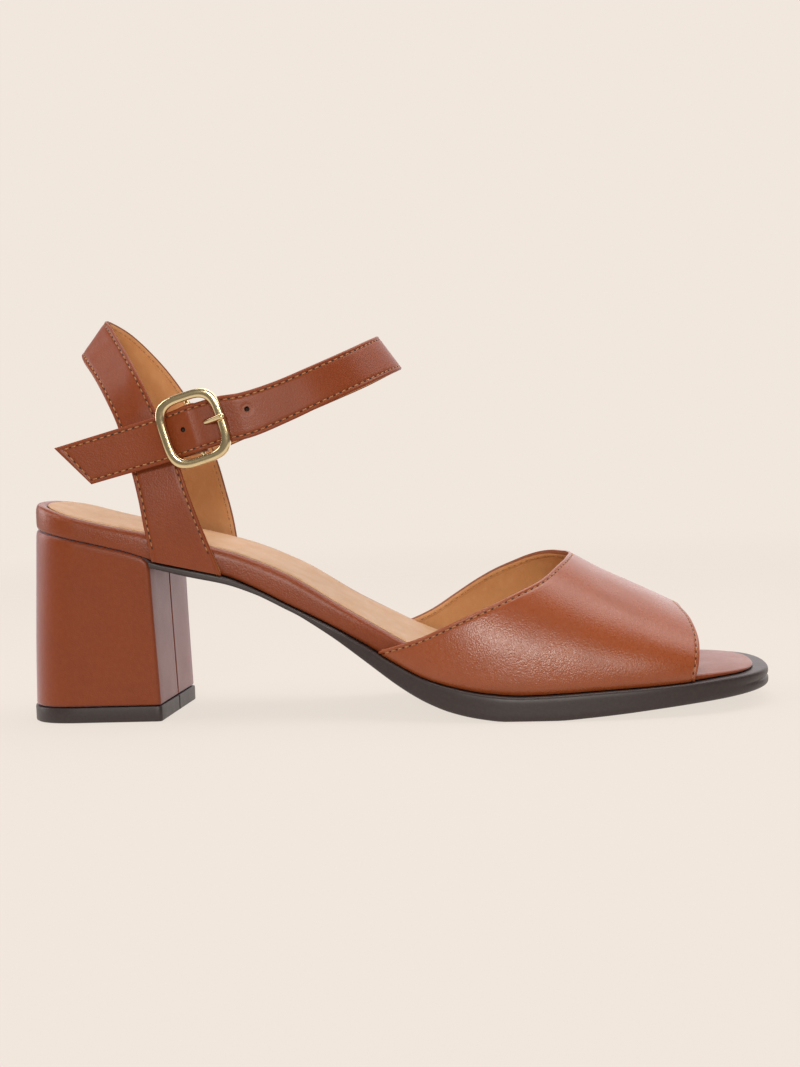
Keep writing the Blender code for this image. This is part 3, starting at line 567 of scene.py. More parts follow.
# %% Helpers for surfaces
MERGE_GAP = 0.002 * MM


def pick(*pieces):
    """Select only these pieces and make the first one active."""
    bpy.ops.object.select_all(action="DESELECT")
    for piece in pieces:
        piece.select_set(True)
    if pieces:
        bpy.context.view_layer.objects.active = pieces[0]


@contextmanager
def edit_mode():
    """Edit the whole mesh of the active piece."""
    bpy.ops.object.mode_set(mode="EDIT")
    bpy.ops.mesh.select_all(action="SELECT")
    yield
    bpy.ops.object.mode_set(mode="OBJECT")


def grid_piece(name, points, materials):
    """A grid primitive with its points set on rows of points in millimetres."""
    rows, columns = points.shape[:2]
    pick()
    bpy.ops.mesh.primitive_grid_add(
        x_subdivisions=columns - 1, y_subdivisions=rows - 1, size=1.0, calc_uvs=False)
    piece = bpy.context.active_object
    piece.name = name
    piece.data.name = name
    piece.data.vertices.foreach_set("co", (points * MM).reshape(-1))
    for material in materials:
        piece.data.materials.append(material)
    piece.data.update()
    return piece


def smooth(piece, angle=40.0):
    """Smooth shading with sharp edges kept."""
    pick(piece)
    bpy.ops.object.shade_smooth_by_angle(angle=math.radians(angle))


def apply_modifiers(piece):
    """Make the piece's modifiers final."""
    pick(piece)
    for change in list(piece.modifiers):
        bpy.ops.object.modifier_apply(modifier=change.name)


def join(*parts):
    """Join parts into the first one."""
    pick(*parts)
    bpy.ops.object.join()
    return parts[0]


def tube_piece(name, rings, material):
    """A closed piece from loops of points, from its underside to its top."""
    piece = grid_piece(name, np.array(rings), [material])
    with edit_mode():
        bpy.ops.mesh.remove_doubles(threshold=MERGE_GAP)
        bpy.ops.mesh.normals_make_consistent(inside=False)
    smooth(piece)
    return piece


def settle(piece, slot, *nodes):
    """Tie a finished piece to the shoe and let it stand for its solids."""
    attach(piece, "root")
    if nodes:
        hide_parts(*nodes)
    print(piece.name, "has", len(piece.data.polygons), "faces")


print("surface helpers are ready")

# %% [markdown]
# The outsole is a thin sheet of rubber that stands out a few millimetres round the
# forefoot. Its top edge is soft, and a groove runs round the tip of the toe. A cut
# sheet could be extruded from an outline, but this one changes thickness along the
# foot, so its side is a stack of loops between the tread and the feather line.

# %% Outsole
LAYER_GAP = 0.3
OUTSOLE_MIN_THICKNESS = 1.6
SideStep = namedtuple("SideStep", "inset share groove")
OUTSOLE_SIDE = table(
    SideStep,
    (1.5, 0.0, 0.0), (0.7, 0.01, 0.0), (0.25, 0.06, 0.0), (0.05, 0.14, 0.0),
    (0.0, 0.26, 0.0), (0.0, 0.36, 0.06), (0.0, 0.43, 0.3), (0.0, 0.48, 0.62),
    (0.0, 0.53, 0.62), (0.0, 0.58, 0.3), (0.0, 0.65, 0.06), (0.0, 0.76, 0.0),
    (0.06, 0.88, 0.0), (0.25, 0.96, 0.0), (0.6, 0.995, 0.0), (1.2, 1.0, 0.0), (3.5, 1.0, 0.0),
)
GROOVE_START = 109.0
GROOVE_FULL = 118.0
FLAT_SHARES = (0.85, 0.6, 0.3, 0.0)


def sole_height(x, y, share):
    """Height of the outsole's side at a share of its thickness."""
    top = feather_height(x, y) - LAYER_GAP
    low = np.minimum(through_rows(TREAD, "z", x), top - OUTSOLE_MIN_THICKNESS)
    return low + (top - low) * share


def grooved(outline, depth):
    """Set an outline in by the groove, which is only round the toe's tip."""
    moved = []
    for plain, deep in zip(outline, inset(outline, depth)):
        share = np.clip((plain[:, 0] - GROOVE_START) / (GROOVE_FULL - GROOVE_START), 0.0, 1.0)
        moved.append(plain + (deep - plain) * share[:, None])
    return moved


plan = full_outline(OUTSOLE_WIDTHS, None, OUTSOLE_FRONT, count=110)
rings = [ring(grooved(inset(plan, step.inset), step.groove), sole_height, step.share)
         for step in OUTSOLE_SIDE]
for share in FLAT_SHARES:
    rings.insert(0, ring(shrink(inset(plan, OUTSOLE_SIDE[0].inset), share, 0.0), sole_height, 0.0))
    rings.append(ring(shrink(inset(plan, OUTSOLE_SIDE[-1].inset), share, 0.0), sole_height, 1.0))
outsole = tube_piece("rubber_outsole", rings, rubber)
settle(outsole, "dark_rubber", "outsole")

# %% [markdown]
# The insole carries the shoe: a board with thin padding, whose edge is wrapped in the
# chestnut leather and shows all round as a rounded rand. Under the sock it is sunk a
# little, and at the bare toe it is slightly domed. Loops again follow its section, this
# time with a full round shoulder that catches the light.

# %% Insole with its wrapped edge
SOCK_INSET = 4.0
SOCK_FRONT_X = 46.0
SOCK_STEP_LENGTH = 4.0
SOCK_RECESS = 1.0
RAND_WIDTH = 3.0
TOE_DOME = 1.0
DOME_FALL = 0.13
RandStep = namedtuple("RandStep", "inset share recess dome")
RAND = table(
    RandStep,
    (1.1, 0.0, 0.0, 0.0), (0.45, 0.02, 0.0, 0.0), (0.1, 0.08, 0.0, 0.0),
    (0.0, 0.18, 0.0, 0.0), (0.0, 0.4, 0.0, 0.0), (0.02, 0.6, 0.0, 0.0),
    (0.12, 0.75, 0.0, 0.0), (0.38, 0.87, 0.0, 0.0), (0.85, 0.955, 0.0, 0.0),
    (1.5, 0.99, 0.0, 0.0), (2.4, 1.0, 0.0, 0.05), (3.3, 0.98, 0.0, 0.15),
    (3.65, 0.97, 0.5, 0.2), (3.9, 0.97, 1.0, 0.22), (5.0, 1.0, 1.0, 0.3),
    (8.5, 1.0, 1.0, 0.6), (13.0, 1.0, 1.0, 0.87),
)
END_ROOM = 6.0


def rand_height(x, y, step):
    """Height of the insole's skin at one step of its section."""
    low = feather_height(x, y)
    bare = np.clip((x - SOCK_FRONT_X) / SOCK_STEP_LENGTH - 0.25, 0.0, 1.0)
    share = step.share + (1.0 - step.share) * bare * (step.inset > RAND_WIDTH)
    sunk = SOCK_RECESS * (1.0 - bare) * step.recess
    return low + (insole_height(x, y) - low) * share - sunk + TOE_DOME * step.dome * bare


plan = full_outline(INSOLE_WIDTHS, INSOLE_BACK, INSOLE_FRONT, count=150)
rings = [ring(inset(plan, step.inset), rand_height, step) for step in RAND]
for share in FLAT_SHARES:
    dome = RAND[-1]._replace(dome=1.0 - DOME_FALL * share)
    rings.insert(0, ring(shrink(inset(plan, RAND[0].inset), share, END_ROOM), feather_height))
    rings.append(ring(shrink(inset(plan, RAND[-1].inset), share, END_ROOM), rand_height, dome))
insole = tube_piece("wrapped_insole", rings, rand_calf)
settle(insole, "brown_leather", "insole")

# %% [markdown]
# The sock lining is one thin piece of tan leather, glued on the insole from the heel to
# under the vamp. It is bare of any mark. Its edge is skived, so the rim is rounded, and
# it lies slightly proud of the rand with faint ripples where the foot bends.

# %% Sock lining
EdgeStep = namedtuple("EdgeStep", "inset rise")
SOCK_EDGE = table(
    EdgeStep,
    (0.1, -0.7), (0.0, -0.35), (0.0, 0.0), (0.15, 0.2), (0.5, 0.34), (1.0, 0.4), (2.2, 0.4),
)
SOCK_SHARES = (0.9, 0.75, 0.5, 0.25, 0.0)
SOCK_END_ROOM = 3.0
RIPPLE_HEIGHT = 0.12
RIPPLE_LENGTH = 5.5
RIPPLE_MIDDLE = -22.0
RIPPLE_REACH = 26.0
RIPPLE_FLOOR = 0.3


def sock_height(x, y, rise):
    """Height over the insole's crest, with the ripples of the instep."""
    wave = np.sin(x / RIPPLE_LENGTH + 0.6 * np.sin(y / 8.0))
    ripple = RIPPLE_HEIGHT * wave * bell(x - RIPPLE_MIDDLE, RIPPLE_REACH)
    return insole_height(x, y) + rise + ripple * (rise > RIPPLE_FLOOR)


widths = [float(through_rows(INSOLE_WIDTHS, side, SOCK_FRONT_X)) for side in Width._fields[1:]]
sock_rows = [row for row in INSOLE_WIDTHS if row.x < SOCK_FRONT_X] + [Width(SOCK_FRONT_X, *widths)]
plan = inset(full_outline(sock_rows, INSOLE_BACK, None, count=130), SOCK_INSET)
rings = [ring(inset(plan, step.inset), sock_height, step.rise) for step in SOCK_EDGE]
under, over = SOCK_EDGE[0], SOCK_EDGE[-1]
for share in SOCK_SHARES:
    drawn = [shrink(inset(plan, step.inset), share, SOCK_END_ROOM) for step in (under, over)]
    rings.insert(0, ring(drawn[0], sock_height, under.rise))
    rings.append(ring(drawn[1], sock_height, over.rise))
# The sock's finish has the painted sheen of its paler, greyer tones.
sock = tube_piece("sock_lining_leather", rings, sock_tan_and_painted_sheen)
settle(sock, "tan_lining", "sock_lining")

# %% [markdown]
# The heel is a block covered with one piece of leather, whose two ends meet in a seam
# down the middle of the breast, the side that faces the arch. A cube with bevels would
# be too regular: this block widens a little towards the seat, and its back is a round
# end. The seam is pressed in between two slightly raised lips.

# %% Covered heel block
HEEL_LIFT_HEIGHT = 5.0
HEEL_LIFT_MARGIN = 0.35
HeelLevel = namedtuple("HeelLevel", "share breast_x back_x half_width join_x square")
HEEL_LEVELS = table(
    HeelLevel,
    (0.0, -73.9, -119.65, 23.9, -100.0, 2.7), (0.33, -74.4, -119.0, 24.3, -99.4, 2.65),
    (0.66, -74.9, -118.1, 24.9, -98.8, 2.55), (1.0, -75.3, -117.2, 25.5, -98.0, 2.45),
)
HEEL_MIDDLE = np.array([-97.0, 0.0])
BREAST_CORNER = 1.3
BREAST_PLACES = np.array([18.0, 12.0, 7.0, 4.0, 2.4, 1.3, 0.7, 0.35, 0.12, 0.0])
SEAM_DEPTH = 0.9
LIP_HEIGHT = 0.06
LIP_PLACE = 1.2
SHOULDER_START = -79.5
SHOULDER_DROP = 1.7
BlockStep = namedtuple("BlockStep", "share inset")
BLOCK_SIDE = table(
    BlockStep,
    (0.0, 0.45), (0.004, 0.15), (0.012, 0.0), *((s, 0.0) for s in np.linspace(0.04, 0.95, 24)),
    (0.972, 0.05), (0.986, 0.2), (0.996, 0.5), (1.0, 1.1),
)
CAP_SHARES = (0.95, 0.7, 0.35, 0.0)


def heel_level(share):
    """Sizes of the heel at a share of its height."""
    names = HeelLevel._fields[1:]
    return HeelLevel(share, *(float(through_rows(HEEL_LEVELS, name, share)) for name in names))


def heel_outline(level, seam=1.0):
    """Both halves of the heel's plan, from the back to the seam of the breast."""
    sides = [Width(x, level.half_width, level.half_width)
             for x in (level.join_x, level.breast_x - BREAST_CORNER)]
    back = Tip(level.back_x, 0.0, level.square, level.square)
    outline = full_outline(sides, back, None, count=60)
    turn = np.linspace(0.0, math.pi / 2.0, 6)
    corner_x = level.breast_x - BREAST_CORNER + BREAST_CORNER * np.sin(turn)
    corner_y = level.half_width - BREAST_CORNER + BREAST_CORNER * np.cos(turn)
    lip = LIP_HEIGHT * bell(BREAST_PLACES - LIP_PLACE, 0.9)
    dip = seam * SEAM_DEPTH * bell(BREAST_PLACES, 0.3)
    x = np.concatenate([corner_x, level.breast_x + seam * lip - dip])
    y = np.concatenate([corner_y, BREAST_PLACES])
    return [np.vstack([half[:-1], np.column_stack([x, side * y])])
            for half, side in zip(outline, (LATERAL, MEDIAL))]


def inset_plan(outline, distance):
    """Set a heel plan in towards its own middle."""
    moved = []
    for half in outline:
        away = half - HEEL_MIDDLE
        size = np.linalg.norm(away, axis=1)[:, None]
        moved.append(HEEL_MIDDLE + away * (size - distance) / size)
    return moved


def drawn_in(outline, share):
    """Draw a heel plan in towards its middle, down to one point."""
    return [HEEL_MIDDLE + (half - HEEL_MIDDLE) * share for half in outline]


def block_height(x, y, share):
    """Height at a share of the way from the top piece to the seat."""
    foot = HEEL_LIFT_HEIGHT + LAYER_GAP
    seat = feather_height(x, y) - LAYER_GAP
    slope = HEEL_LEVELS[-1].breast_x - SHOULDER_START
    shoulder = np.clip((x - SHOULDER_START) / slope, 0.0, 1.0)
    return foot + (seat - SHOULDER_DROP * shoulder ** 3 - foot) * share


plans = [inset_plan(heel_outline(heel_level(step.share)), step.inset) for step in BLOCK_SIDE]
rings = [ring(plan, block_height, step.share) for plan, step in zip(plans, BLOCK_SIDE)]
for share in CAP_SHARES:
    rings.insert(0, ring(drawn_in(plans[0], share), block_height, 0.0))
    rings.append(ring(drawn_in(plans[-1], share), block_height, 1.0))
heel = tube_piece("covered_heel", rings, heel_calf)
settle(heel, "brown_leather", "heel_block")

# %% [markdown]
# The top piece is the small rubber lift that meets the floor. It follows the heel's plan
# and stands out by a third of a millimetre, with a small bevel at the floor and a
# shallow notch where the seam of the cover ends.

# %% Heel top piece
LIFT_SIDE = table(
    EdgeStep,
    (1.2, 0.0), (0.4, 0.04), (0.1, 0.2), (0.0, 0.5), (0.0, 2.5), (0.0, 4.5), (0.12, 4.85),
    (0.5, 5.0), (1.2, 5.0),
)
LIFT_SEAM = 0.7


def level_height(x, y, rise):
    """The same height everywhere."""
    return np.full_like(x, rise)


foot = heel_level(0.0)
plan = heel_outline(foot._replace(
    breast_x=foot.breast_x + HEEL_LIFT_MARGIN,
    back_x=foot.back_x - HEEL_LIFT_MARGIN,
    half_width=foot.half_width + HEEL_LIFT_MARGIN,
), LIFT_SEAM)
rings = [ring(inset_plan(plan, step.inset), level_height, step.rise) for step in LIFT_SIDE]
flat = inset_plan(plan, LIFT_SIDE[0].inset)
for share in CAP_SHARES:
    rings.insert(0, ring(drawn_in(flat, share), level_height, 0.0))
    rings.append(ring(drawn_in(flat, share), level_height, HEEL_LIFT_HEIGHT))
lift = tube_piece("rubber_top_piece", rings, rubber)
settle(lift, "dark_rubber", "heel_top_piece")

# %% [markdown]
# The upper is cut from flat leather and drawn over the last. Sewn edges show it best: the
# thread pulls a shallow groove, the margin beyond it is puffed and its edge rounded.
# Creases are listed one by one, as soft troughs along short lines. Both are added to
# the surface along its own normal before it gets its thickness.

# %% Helpers for sewn leather
SEAM_INSET = 1.3
EDGE_STEPS = np.array([0.0, 0.15, 0.35, 0.6, 0.85, 1.1, 1.3, 1.5, 1.75, 2.1, 2.7])
SEAM_COLUMN = int(np.argmin(np.abs(EDGE_STEPS - SEAM_INSET)))
LEATHER_THICKNESS = 1.8
GROOVE_DEPTH = 0.2
PUFF_HEIGHT = 0.04
PUFF_PLACE = 0.65
EDGE_DROP = 0.4
EDGE_ROUND = 0.5
FAR = 99.0
Crease = namedtuple("Crease", "x1 y1 z1 x2 y2 z2 width depth")


def grid_normals(points, inside):
    """Normal of a grid at each point, away from a point inside the shoe."""
    normal = np.cross(np.gradient(points, axis=0), np.gradient(points, axis=1))
    size = np.linalg.norm(normal, axis=2)[:, :, None]
    normal = normal / np.maximum(size, 1e-9)
    facing = np.sum(normal * (points - np.array(inside)))
    return normal if facing > 0.0 else -normal


def seam_relief(distance):
    """Groove at the thread, puffed margin and rounded edge."""
    groove = -GROOVE_DEPTH * bell(distance - SEAM_INSET, 0.38)
    margin = PUFF_HEIGHT * bell(distance - PUFF_PLACE, 0.35)
    edge = -EDGE_DROP * np.clip(1.0 - distance / EDGE_ROUND, 0.0, 1.0) ** 2
    return groove + margin + edge


def crease_relief(points, creases):
    """Soft troughs, or ridges where the depth is negative."""
    relief = np.zeros(points.shape[:2])
    for crease in creases:
        start = np.array(crease[:3])
        run = np.array(crease[3:6]) - start
        t = np.clip((points - start) @ run / (run @ run), 0.0, 1.0)
        away = np.linalg.norm(points - start - t[..., None] * run, axis=2)
        relief -= crease.depth * bell(away, crease.width)
    return relief


def pressed(points, edges, inside, creases, pits=0.0):
    """Points with the relief of seams, creases and pits, and their normals."""
    normals = grid_normals(points, inside)
    relief = seam_relief(edges) + crease_relief(points, creases) + pits
    return points + normals * relief[..., None], normals


def leather_wall(name, points, inside, skin):
    """A lined leather wall: the outer face, then its thickness inwards."""
    face = np.cross(points[1, 0] - points[0, 0], points[0, 1] - points[0, 0])
    if np.sum(face * grid_normals(points, inside)[0, 0]) > 0.0:
        points = points[::-1]
    piece = grid_piece(name, points, [skin, lining, cut_edge])
    wall = piece.modifiers.new("thickness", "SOLIDIFY")
    wall.thickness = LEATHER_THICKNESS * MM
    wall.offset = -1.0
    wall.use_even_offset = False
    wall.material_offset = 1
    wall.material_offset_rim = 2
    apply_modifiers(piece)
    smooth(piece, 50.0)
    return piece


print("sewn leather helpers are ready")

# %% [markdown]
# Stitches repeat hundreds of times, so one is modelled and copied. It is a ball stretched
# to a short, slightly arched length of thread, with a dark flattened ball at its end as
# painted shade for the needle hole. A curve with a dashed finish would stay flat. Each
# copy has its own mesh, and the copies of a seam are joined into one piece.

# %% One stitch, and how a seam is sewn
STITCH_PITCH = 2.35
STITCH_LENGTH = 1.75
STITCH_WIDTH = 0.46
STITCH_HEIGHT = 0.36
STITCH_LIFT = 0.06
STITCH_SAG = 0.14
NEEDLE_SIZE = (1.4, 0.85, 0.3)
LINING_SINK = 0.12


def ball(rings, radius, size, middle, slot):
    """A stretched ball that shows the thread, or the painted shade of a needle hole."""
    pick()
    bpy.ops.mesh.primitive_uv_sphere_add(segments=8, ring_count=rings, radius=radius)
    with edit_mode():
        bpy.ops.transform.resize(value=size)
        bpy.ops.transform.translate(value=middle)
    made = bpy.context.active_object
    for material in (thread, hole_shade_paint):
        made.data.materials.append(material)
    for face in made.data.polygons:
        face.material_index = slot
    return made


def model_stitch():
    """One stitch along X, with the painted shade of its needle hole at the origin."""
    middle = STITCH_PITCH / 2.0
    size = (STITCH_LENGTH, STITCH_WIDTH, STITCH_HEIGHT)
    body = ball(6, 0.5, size, (middle, 0.0, STITCH_LIFT), 0)
    for vert in body.data.vertices:
        reach = (vert.co.x - middle) / (STITCH_LENGTH / 2.0)
        vert.co.z -= STITCH_SAG * reach * reach
    # The flattened dark ball paints the shade of the needle hole.
    join(body, ball(4, 0.38, NEEDLE_SIZE, (0.0, 0.0, 0.0), 1))
    bpy.ops.object.shade_smooth()
    return body


def sew(name, lines):
    """Copies of the stitch along lines of points and normals, in one piece."""
    copies = []
    for points, normals in lines:
        way = way_along(points)
        count = max(1, int(way[-1] / STITCH_PITCH))
        for at in np.arange(count) * way[-1] / count:
            ends = ((at, points), (at + STITCH_PITCH, points), (at, normals))
            here, there, up = (np.array([np.interp(s, way, column) for column in rows.T])
                               for s, rows in ends)
            along = Vector(there - here).normalized()
            above = Vector(up)
            above = (above - along * above.dot(along)).normalized()
            basis = Matrix((along, above.cross(along), above)).transposed().to_4x4()
            copy = stitch.copy()
            copy.data = stitch.data.copy()
            copy.matrix_world = Matrix.Translation(Vector(here) * MM) @ basis @ Matrix.Scale(MM, 4)
            bpy.context.scene.collection.objects.link(copy)
            copies.append(copy)
    piece = join(*copies)
    piece.name = name
    bpy.ops.object.transform_apply(location=True, rotation=True, scale=True)
    print(name, "has", len(copies), "stitches")
    settle(piece, "brown_leather")


def both_faces(points, normals, *where):
    """The line of a seam on the outer face and the same line on the lining."""
    points, normals = points[where], normals[where]
    return [(points, normals), (points - normals * (LEATHER_THICKNESS - LINING_SINK), -normals)]


def sew_both_edges(name, points, normals, unsewn):
    """Seams along both long edges of a wall, with a few rows left at its ends."""
    rows = slice(unsewn, -unsewn)
    sew(name, [*both_faces(points, normals, rows, SEAM_COLUMN),
               *both_faces(points, normals, rows, -1 - SEAM_COLUMN)])


stitch = model_stitch()
print("one stitch has", len(stitch.data.polygons), "faces")

# %% [markdown]
# The vamp is the open toe front of the upper. Its section over the last is a rounded arch
# that leans to the medial side, and its two edges, throat and toe, are curves in the
# angle round that arch. The leather rolls under at the feather line. Wrinkles of a vamp
# are slight before wear, so only soft hollows are set in.

# %% Vamp
Ridge = namedtuple("Ridge", "x z y")
Edge = namedtuple("Edge", "angle x")
VAMP_RIDGE = table(
    Ridge,
    (-14.0, 87.3, 4.0), (0.0, 79.6, 4.5), (30.0, 63.2, 6.0), (57.7, 48.3, 7.0),
    (67.3, 42.8, 6.5), (75.3, 38.9, 6.0), (83.4, 35.0, 5.0), (91.0, 31.2, 4.0), (98.0, 27.8, 3.5),
)
VAMP_THROAT = table(
    Edge,
    (0.0, -3.0), (7.0, 7.8), (18.0, 22.4), (30.7, 36.7), (45.9, 48.4), (58.7, 53.2),
    (75.0, 56.6), (90.0, 57.7), (103.0, 55.7), (114.5, 50.9), (134.0, 40.0),
    (148.0, 29.0), (160.4, 18.0), (170.8, 7.2), (175.5, 0.8), (180.0, -9.0),
)
VAMP_TOE_EDGE = table(
    Edge,
    (0.0, 94.4), (15.0, 95.8), (35.0, 96.4), (60.0, 95.2), (90.0, 92.2),
    (120.0, 95.2), (145.0, 96.8), (165.0, 96.6), (180.0, 95.6),
)
VAMP_SQUARENESS = 2.3
VAMP_STAND_OFF = 2.3
VAMP_INSIDE = (60.0, 0.0, 10.0)
VAMP_COLUMNS = 32
ROLL_IN = 1.0
ROLL_HEIGHT = 1.1
VAMP_CREASES = table(
    Crease,
    (58.0, -24.0, 33.0, 70.0, -30.0, 22.0, 5.0, 0.3),
    (70.0, -16.0, 36.0, 84.0, -24.0, 24.0, 5.0, 0.25),
    (40.0, -34.0, 18.0, 52.0, -35.0, 14.0, 4.0, 0.22),
    (60.0, 30.0, 34.0, 74.0, 32.0, 22.0, 5.0, 0.3),
)
feather_line = full_outline(INSOLE_WIDTHS, INSOLE_BACK, INSOLE_FRONT, count=300)
vamp_feet = inset(feather_line, -VAMP_STAND_OFF)


def vamp_surface(x, degrees):
    """Outer face of the vamp for places along the foot and angles round it."""
    lateral, medial = vamp_feet
    near = np.interp(x, lateral[:, 0], lateral[:, 1])
    far = np.interp(x, medial[:, 0], medial[:, 1])
    foot_y = np.where(degrees < 90.0, near, far)
    middle = through_rows(VAMP_RIDGE, "y", x)
    top = through_rows(VAMP_RIDGE, "z", x)
    low = feather_height(x, foot_y)
    turn = np.radians(degrees)
    power = 2.0 / VAMP_SQUARENESS
    across = np.abs(np.cos(turn)) ** power
    rise = (top - low) * np.abs(np.sin(turn)) ** power
    roll = ROLL_IN * np.exp(-rise / ROLL_HEIGHT) * np.sign(foot_y)
    return np.stack([x, middle + (foot_y - middle) * across - roll, low + rise], axis=-1)


low_angles = np.array([0.0, 0.06, 0.15, 0.3, 0.5, 0.8, 1.2, 1.8, 2.6, 3.6, 4.8, 6.2, 7.8])
main_angles = np.linspace(9.5, 170.5, 102)
angles = np.concatenate([low_angles, main_angles, 180.0 - low_angles[::-1]])
back = through_rows(VAMP_THROAT, "x", angles)
front = through_rows(VAMP_TOE_EDGE, "x", angles)


def edge_step(x, towards):
    """How far x moves for each millimetre square to an edge of the vamp."""
    edge = vamp_surface(x, angles)
    ahead = vamp_surface(x + towards, angles) - edge
    run = np.gradient(edge, axis=0)
    run /= np.linalg.norm(run, axis=1)[:, None]
    return towards / np.linalg.norm(np.cross(run, ahead), axis=1)


from_back = back[:, None] + edge_step(back, 1.0)[:, None] * EDGE_STEPS
from_front = front[:, None] + edge_step(front, -1.0)[:, None] * EDGE_STEPS[::-1]
share = np.linspace(0.0, 1.0, VAMP_COLUMNS + 2)[1:-1]
field = from_back[:, -1:] + (from_front[:, :1] - from_back[:, -1:]) * share
places = np.hstack([from_back, field, from_front])
edges = np.full(places.shape, FAR)
edges[:, :len(EDGE_STEPS)] = EDGE_STEPS
edges[:, -len(EDGE_STEPS):] = EDGE_STEPS[::-1]
vamp_points, vamp_normals = pressed(
    vamp_surface(places, np.repeat(angles[:, None], places.shape[1], axis=1)),
    edges, VAMP_INSIDE, VAMP_CREASES)
vamp = leather_wall("vamp_leather", vamp_points, VAMP_INSIDE, calf)
settle(vamp, "brown_leather", "vamp")

# %% [markdown]
# The vamp is sewn along its throat and along its toe edge. The seams stop a few rows
# before the feather line, where the leather turns under.

# %% Stitches of the vamp
sew_both_edges("vamp_stitches", vamp_points, vamp_normals, unsewn=4)

# %% [markdown]
# The heel strap is one band that rises from both sides of the sole, leans back and folds
# behind the ankle. It is a ruled surface between its rear and its front edge, with
# the ridge of the fold at the back. Small creases gather inside the bend.

# %% Heel strap
Band = namedtuple("Band", "rear_x rear_y rear_z front_x front_y front_z reach")
HEEL_STRAP = table(
    Band,
    (-73.6, 28.9, 51.6, -51.7, 27.5, 46.4, 0.8),
    (-75.4, 29.4, 61.9, -57.4, 28.6, 62.6, 0.95),
    (-76.8, 29.2, 70.8, -60.8, 28.8, 72.9, 1.01),
    (-78.8, 28.2, 79.5, -63.7, 28.1, 82.4, 1.05),
    (-81.1, 27.6, 88.0, -67.4, 27.5, 92.0, 1.08),
    (-83.5, 26.5, 95.4, -72.0, 26.2, 102.0, 1.09),
    (-87.4, 23.8, 103.2, -76.6, 23.4, 110.8, 1.07),
    (-92.7, 18.2, 111.0, -82.0, 18.2, 119.2, 1.05),
    (-98.2, 10.6, 117.0, -87.9, 10.8, 126.8, 1.02),
    (-101.0, 0.0, 119.4, -92.4, 0.0, 130.6, 1.0),
)
STRAP_INSIDE = (-50.0, 0.0, 85.0)
HEEL_STRAP_CREASES = table(
    Crease,
    (-90.0, -19.5, 110.5, -84.0, -21.0, 114.0, 1.6, 0.22),
    (-80.0, -23.5, 108.4, -75.8, -26.3, 99.8, 2.8, -0.3),
    (-84.0, -25.5, 98.0, -83.0, -26.5, 94.0, 3.5, 0.15),
    (-97.0, -11.0, 117.5, -91.0, -12.0, 122.0, 1.7, 0.18),
)


def catmull_point(four, knots, t):
    """One point of a Catmull-Rom span with uneven knots."""
    def blend(a, b, low, high):
        share = (t - low) / (high - low)
        return a * (1.0 - share) + b * share
    first = [blend(four[i], four[i + 1], knots[i], knots[i + 1]) for i in range(3)]
    second = [blend(first[i], first[i + 1], knots[i], knots[i + 2]) for i in range(2)]
    return blend(second[0], second[1], knots[1], knots[2])


def smooth_course(rows, per_span):
    """Curve through rows of numbers, spaced by the way between their first three."""
    rows = np.asarray(rows, dtype=float)
    padded = np.vstack([2.0 * rows[0] - rows[1], rows, 2.0 * rows[-1] - rows[-2]])
    spacing = np.linalg.norm(np.diff(padded[:, :3], axis=0), axis=1) ** 0.5
    knots = np.concatenate([[0.0], np.cumsum(spacing)])
    course = []
    for i in range(1, len(padded) - 2):
        for step in range(per_span):
            t = knots[i] + (knots[i + 1] - knots[i]) * step / per_span
            course.append(catmull_point(padded[i - 1:i + 3], knots[i - 1:i + 3], t))
    course.append(rows[-1])
    return np.array(course)


def across_places(width, middle_count):
    """Distances across a strap, close together at both sewn edges."""
    field = np.linspace(EDGE_STEPS[-1], width - EDGE_STEPS[-1], middle_count + 2)[1:-1]
    return np.concatenate([EDGE_STEPS, field, width - EDGE_STEPS[::-1]])


ROWS_PER_BAND = 14
BAND_COLUMNS = 12
band_rows = []
for side, rows in ((LATERAL, HEEL_STRAP), (MEDIAL, HEEL_STRAP[-2::-1])):
    for band in rows:
        rear = np.array((band.rear_x, side * band.rear_y, band.rear_z))
        front = np.array((band.front_x, side * band.front_y, band.front_z))
        reach = 1.0 if side == LATERAL else band.reach
        band_rows.append((*rear, *(rear + (front - rear) * reach)))
heel_points = []
heel_edges = []
for row in smooth_course(band_rows, ROWS_PER_BAND):
    width = np.linalg.norm(row[3:] - row[:3])
    across = across_places(width, BAND_COLUMNS)
    heel_points.append(row[:3] + (row[3:] - row[:3]) * (across / width)[:, None])
    heel_edges.append(np.minimum(across, width - across))
heel_points, heel_normals = pressed(
    np.array(heel_points), np.array(heel_edges), STRAP_INSIDE, HEEL_STRAP_CREASES)
heel_strap = leather_wall("heel_strap_leather", heel_points, STRAP_INSIDE, strap_calf)
settle(heel_strap, "brown_leather", "heel_and_ankle_strap")

# %% [markdown]
# The heel strap is sewn along both edges in the same way, from sole to sole round the
# back of the ankle.

# %% Stitches of the heel strap
sew_both_edges("heel_strap_stitches", heel_points, heel_normals, unsewn=6)

# %% [markdown]
# The ankle strap leaves the heel strap on the medial side, goes round the front of the
# ankle, under the right bar of the buckle, over the centre bar and under the left
# bar, and ends in a slanted tail. A profile swept along a curve would twist, so the
# width of each row is set upright and leaned by a table. Rows are closer where holes are.

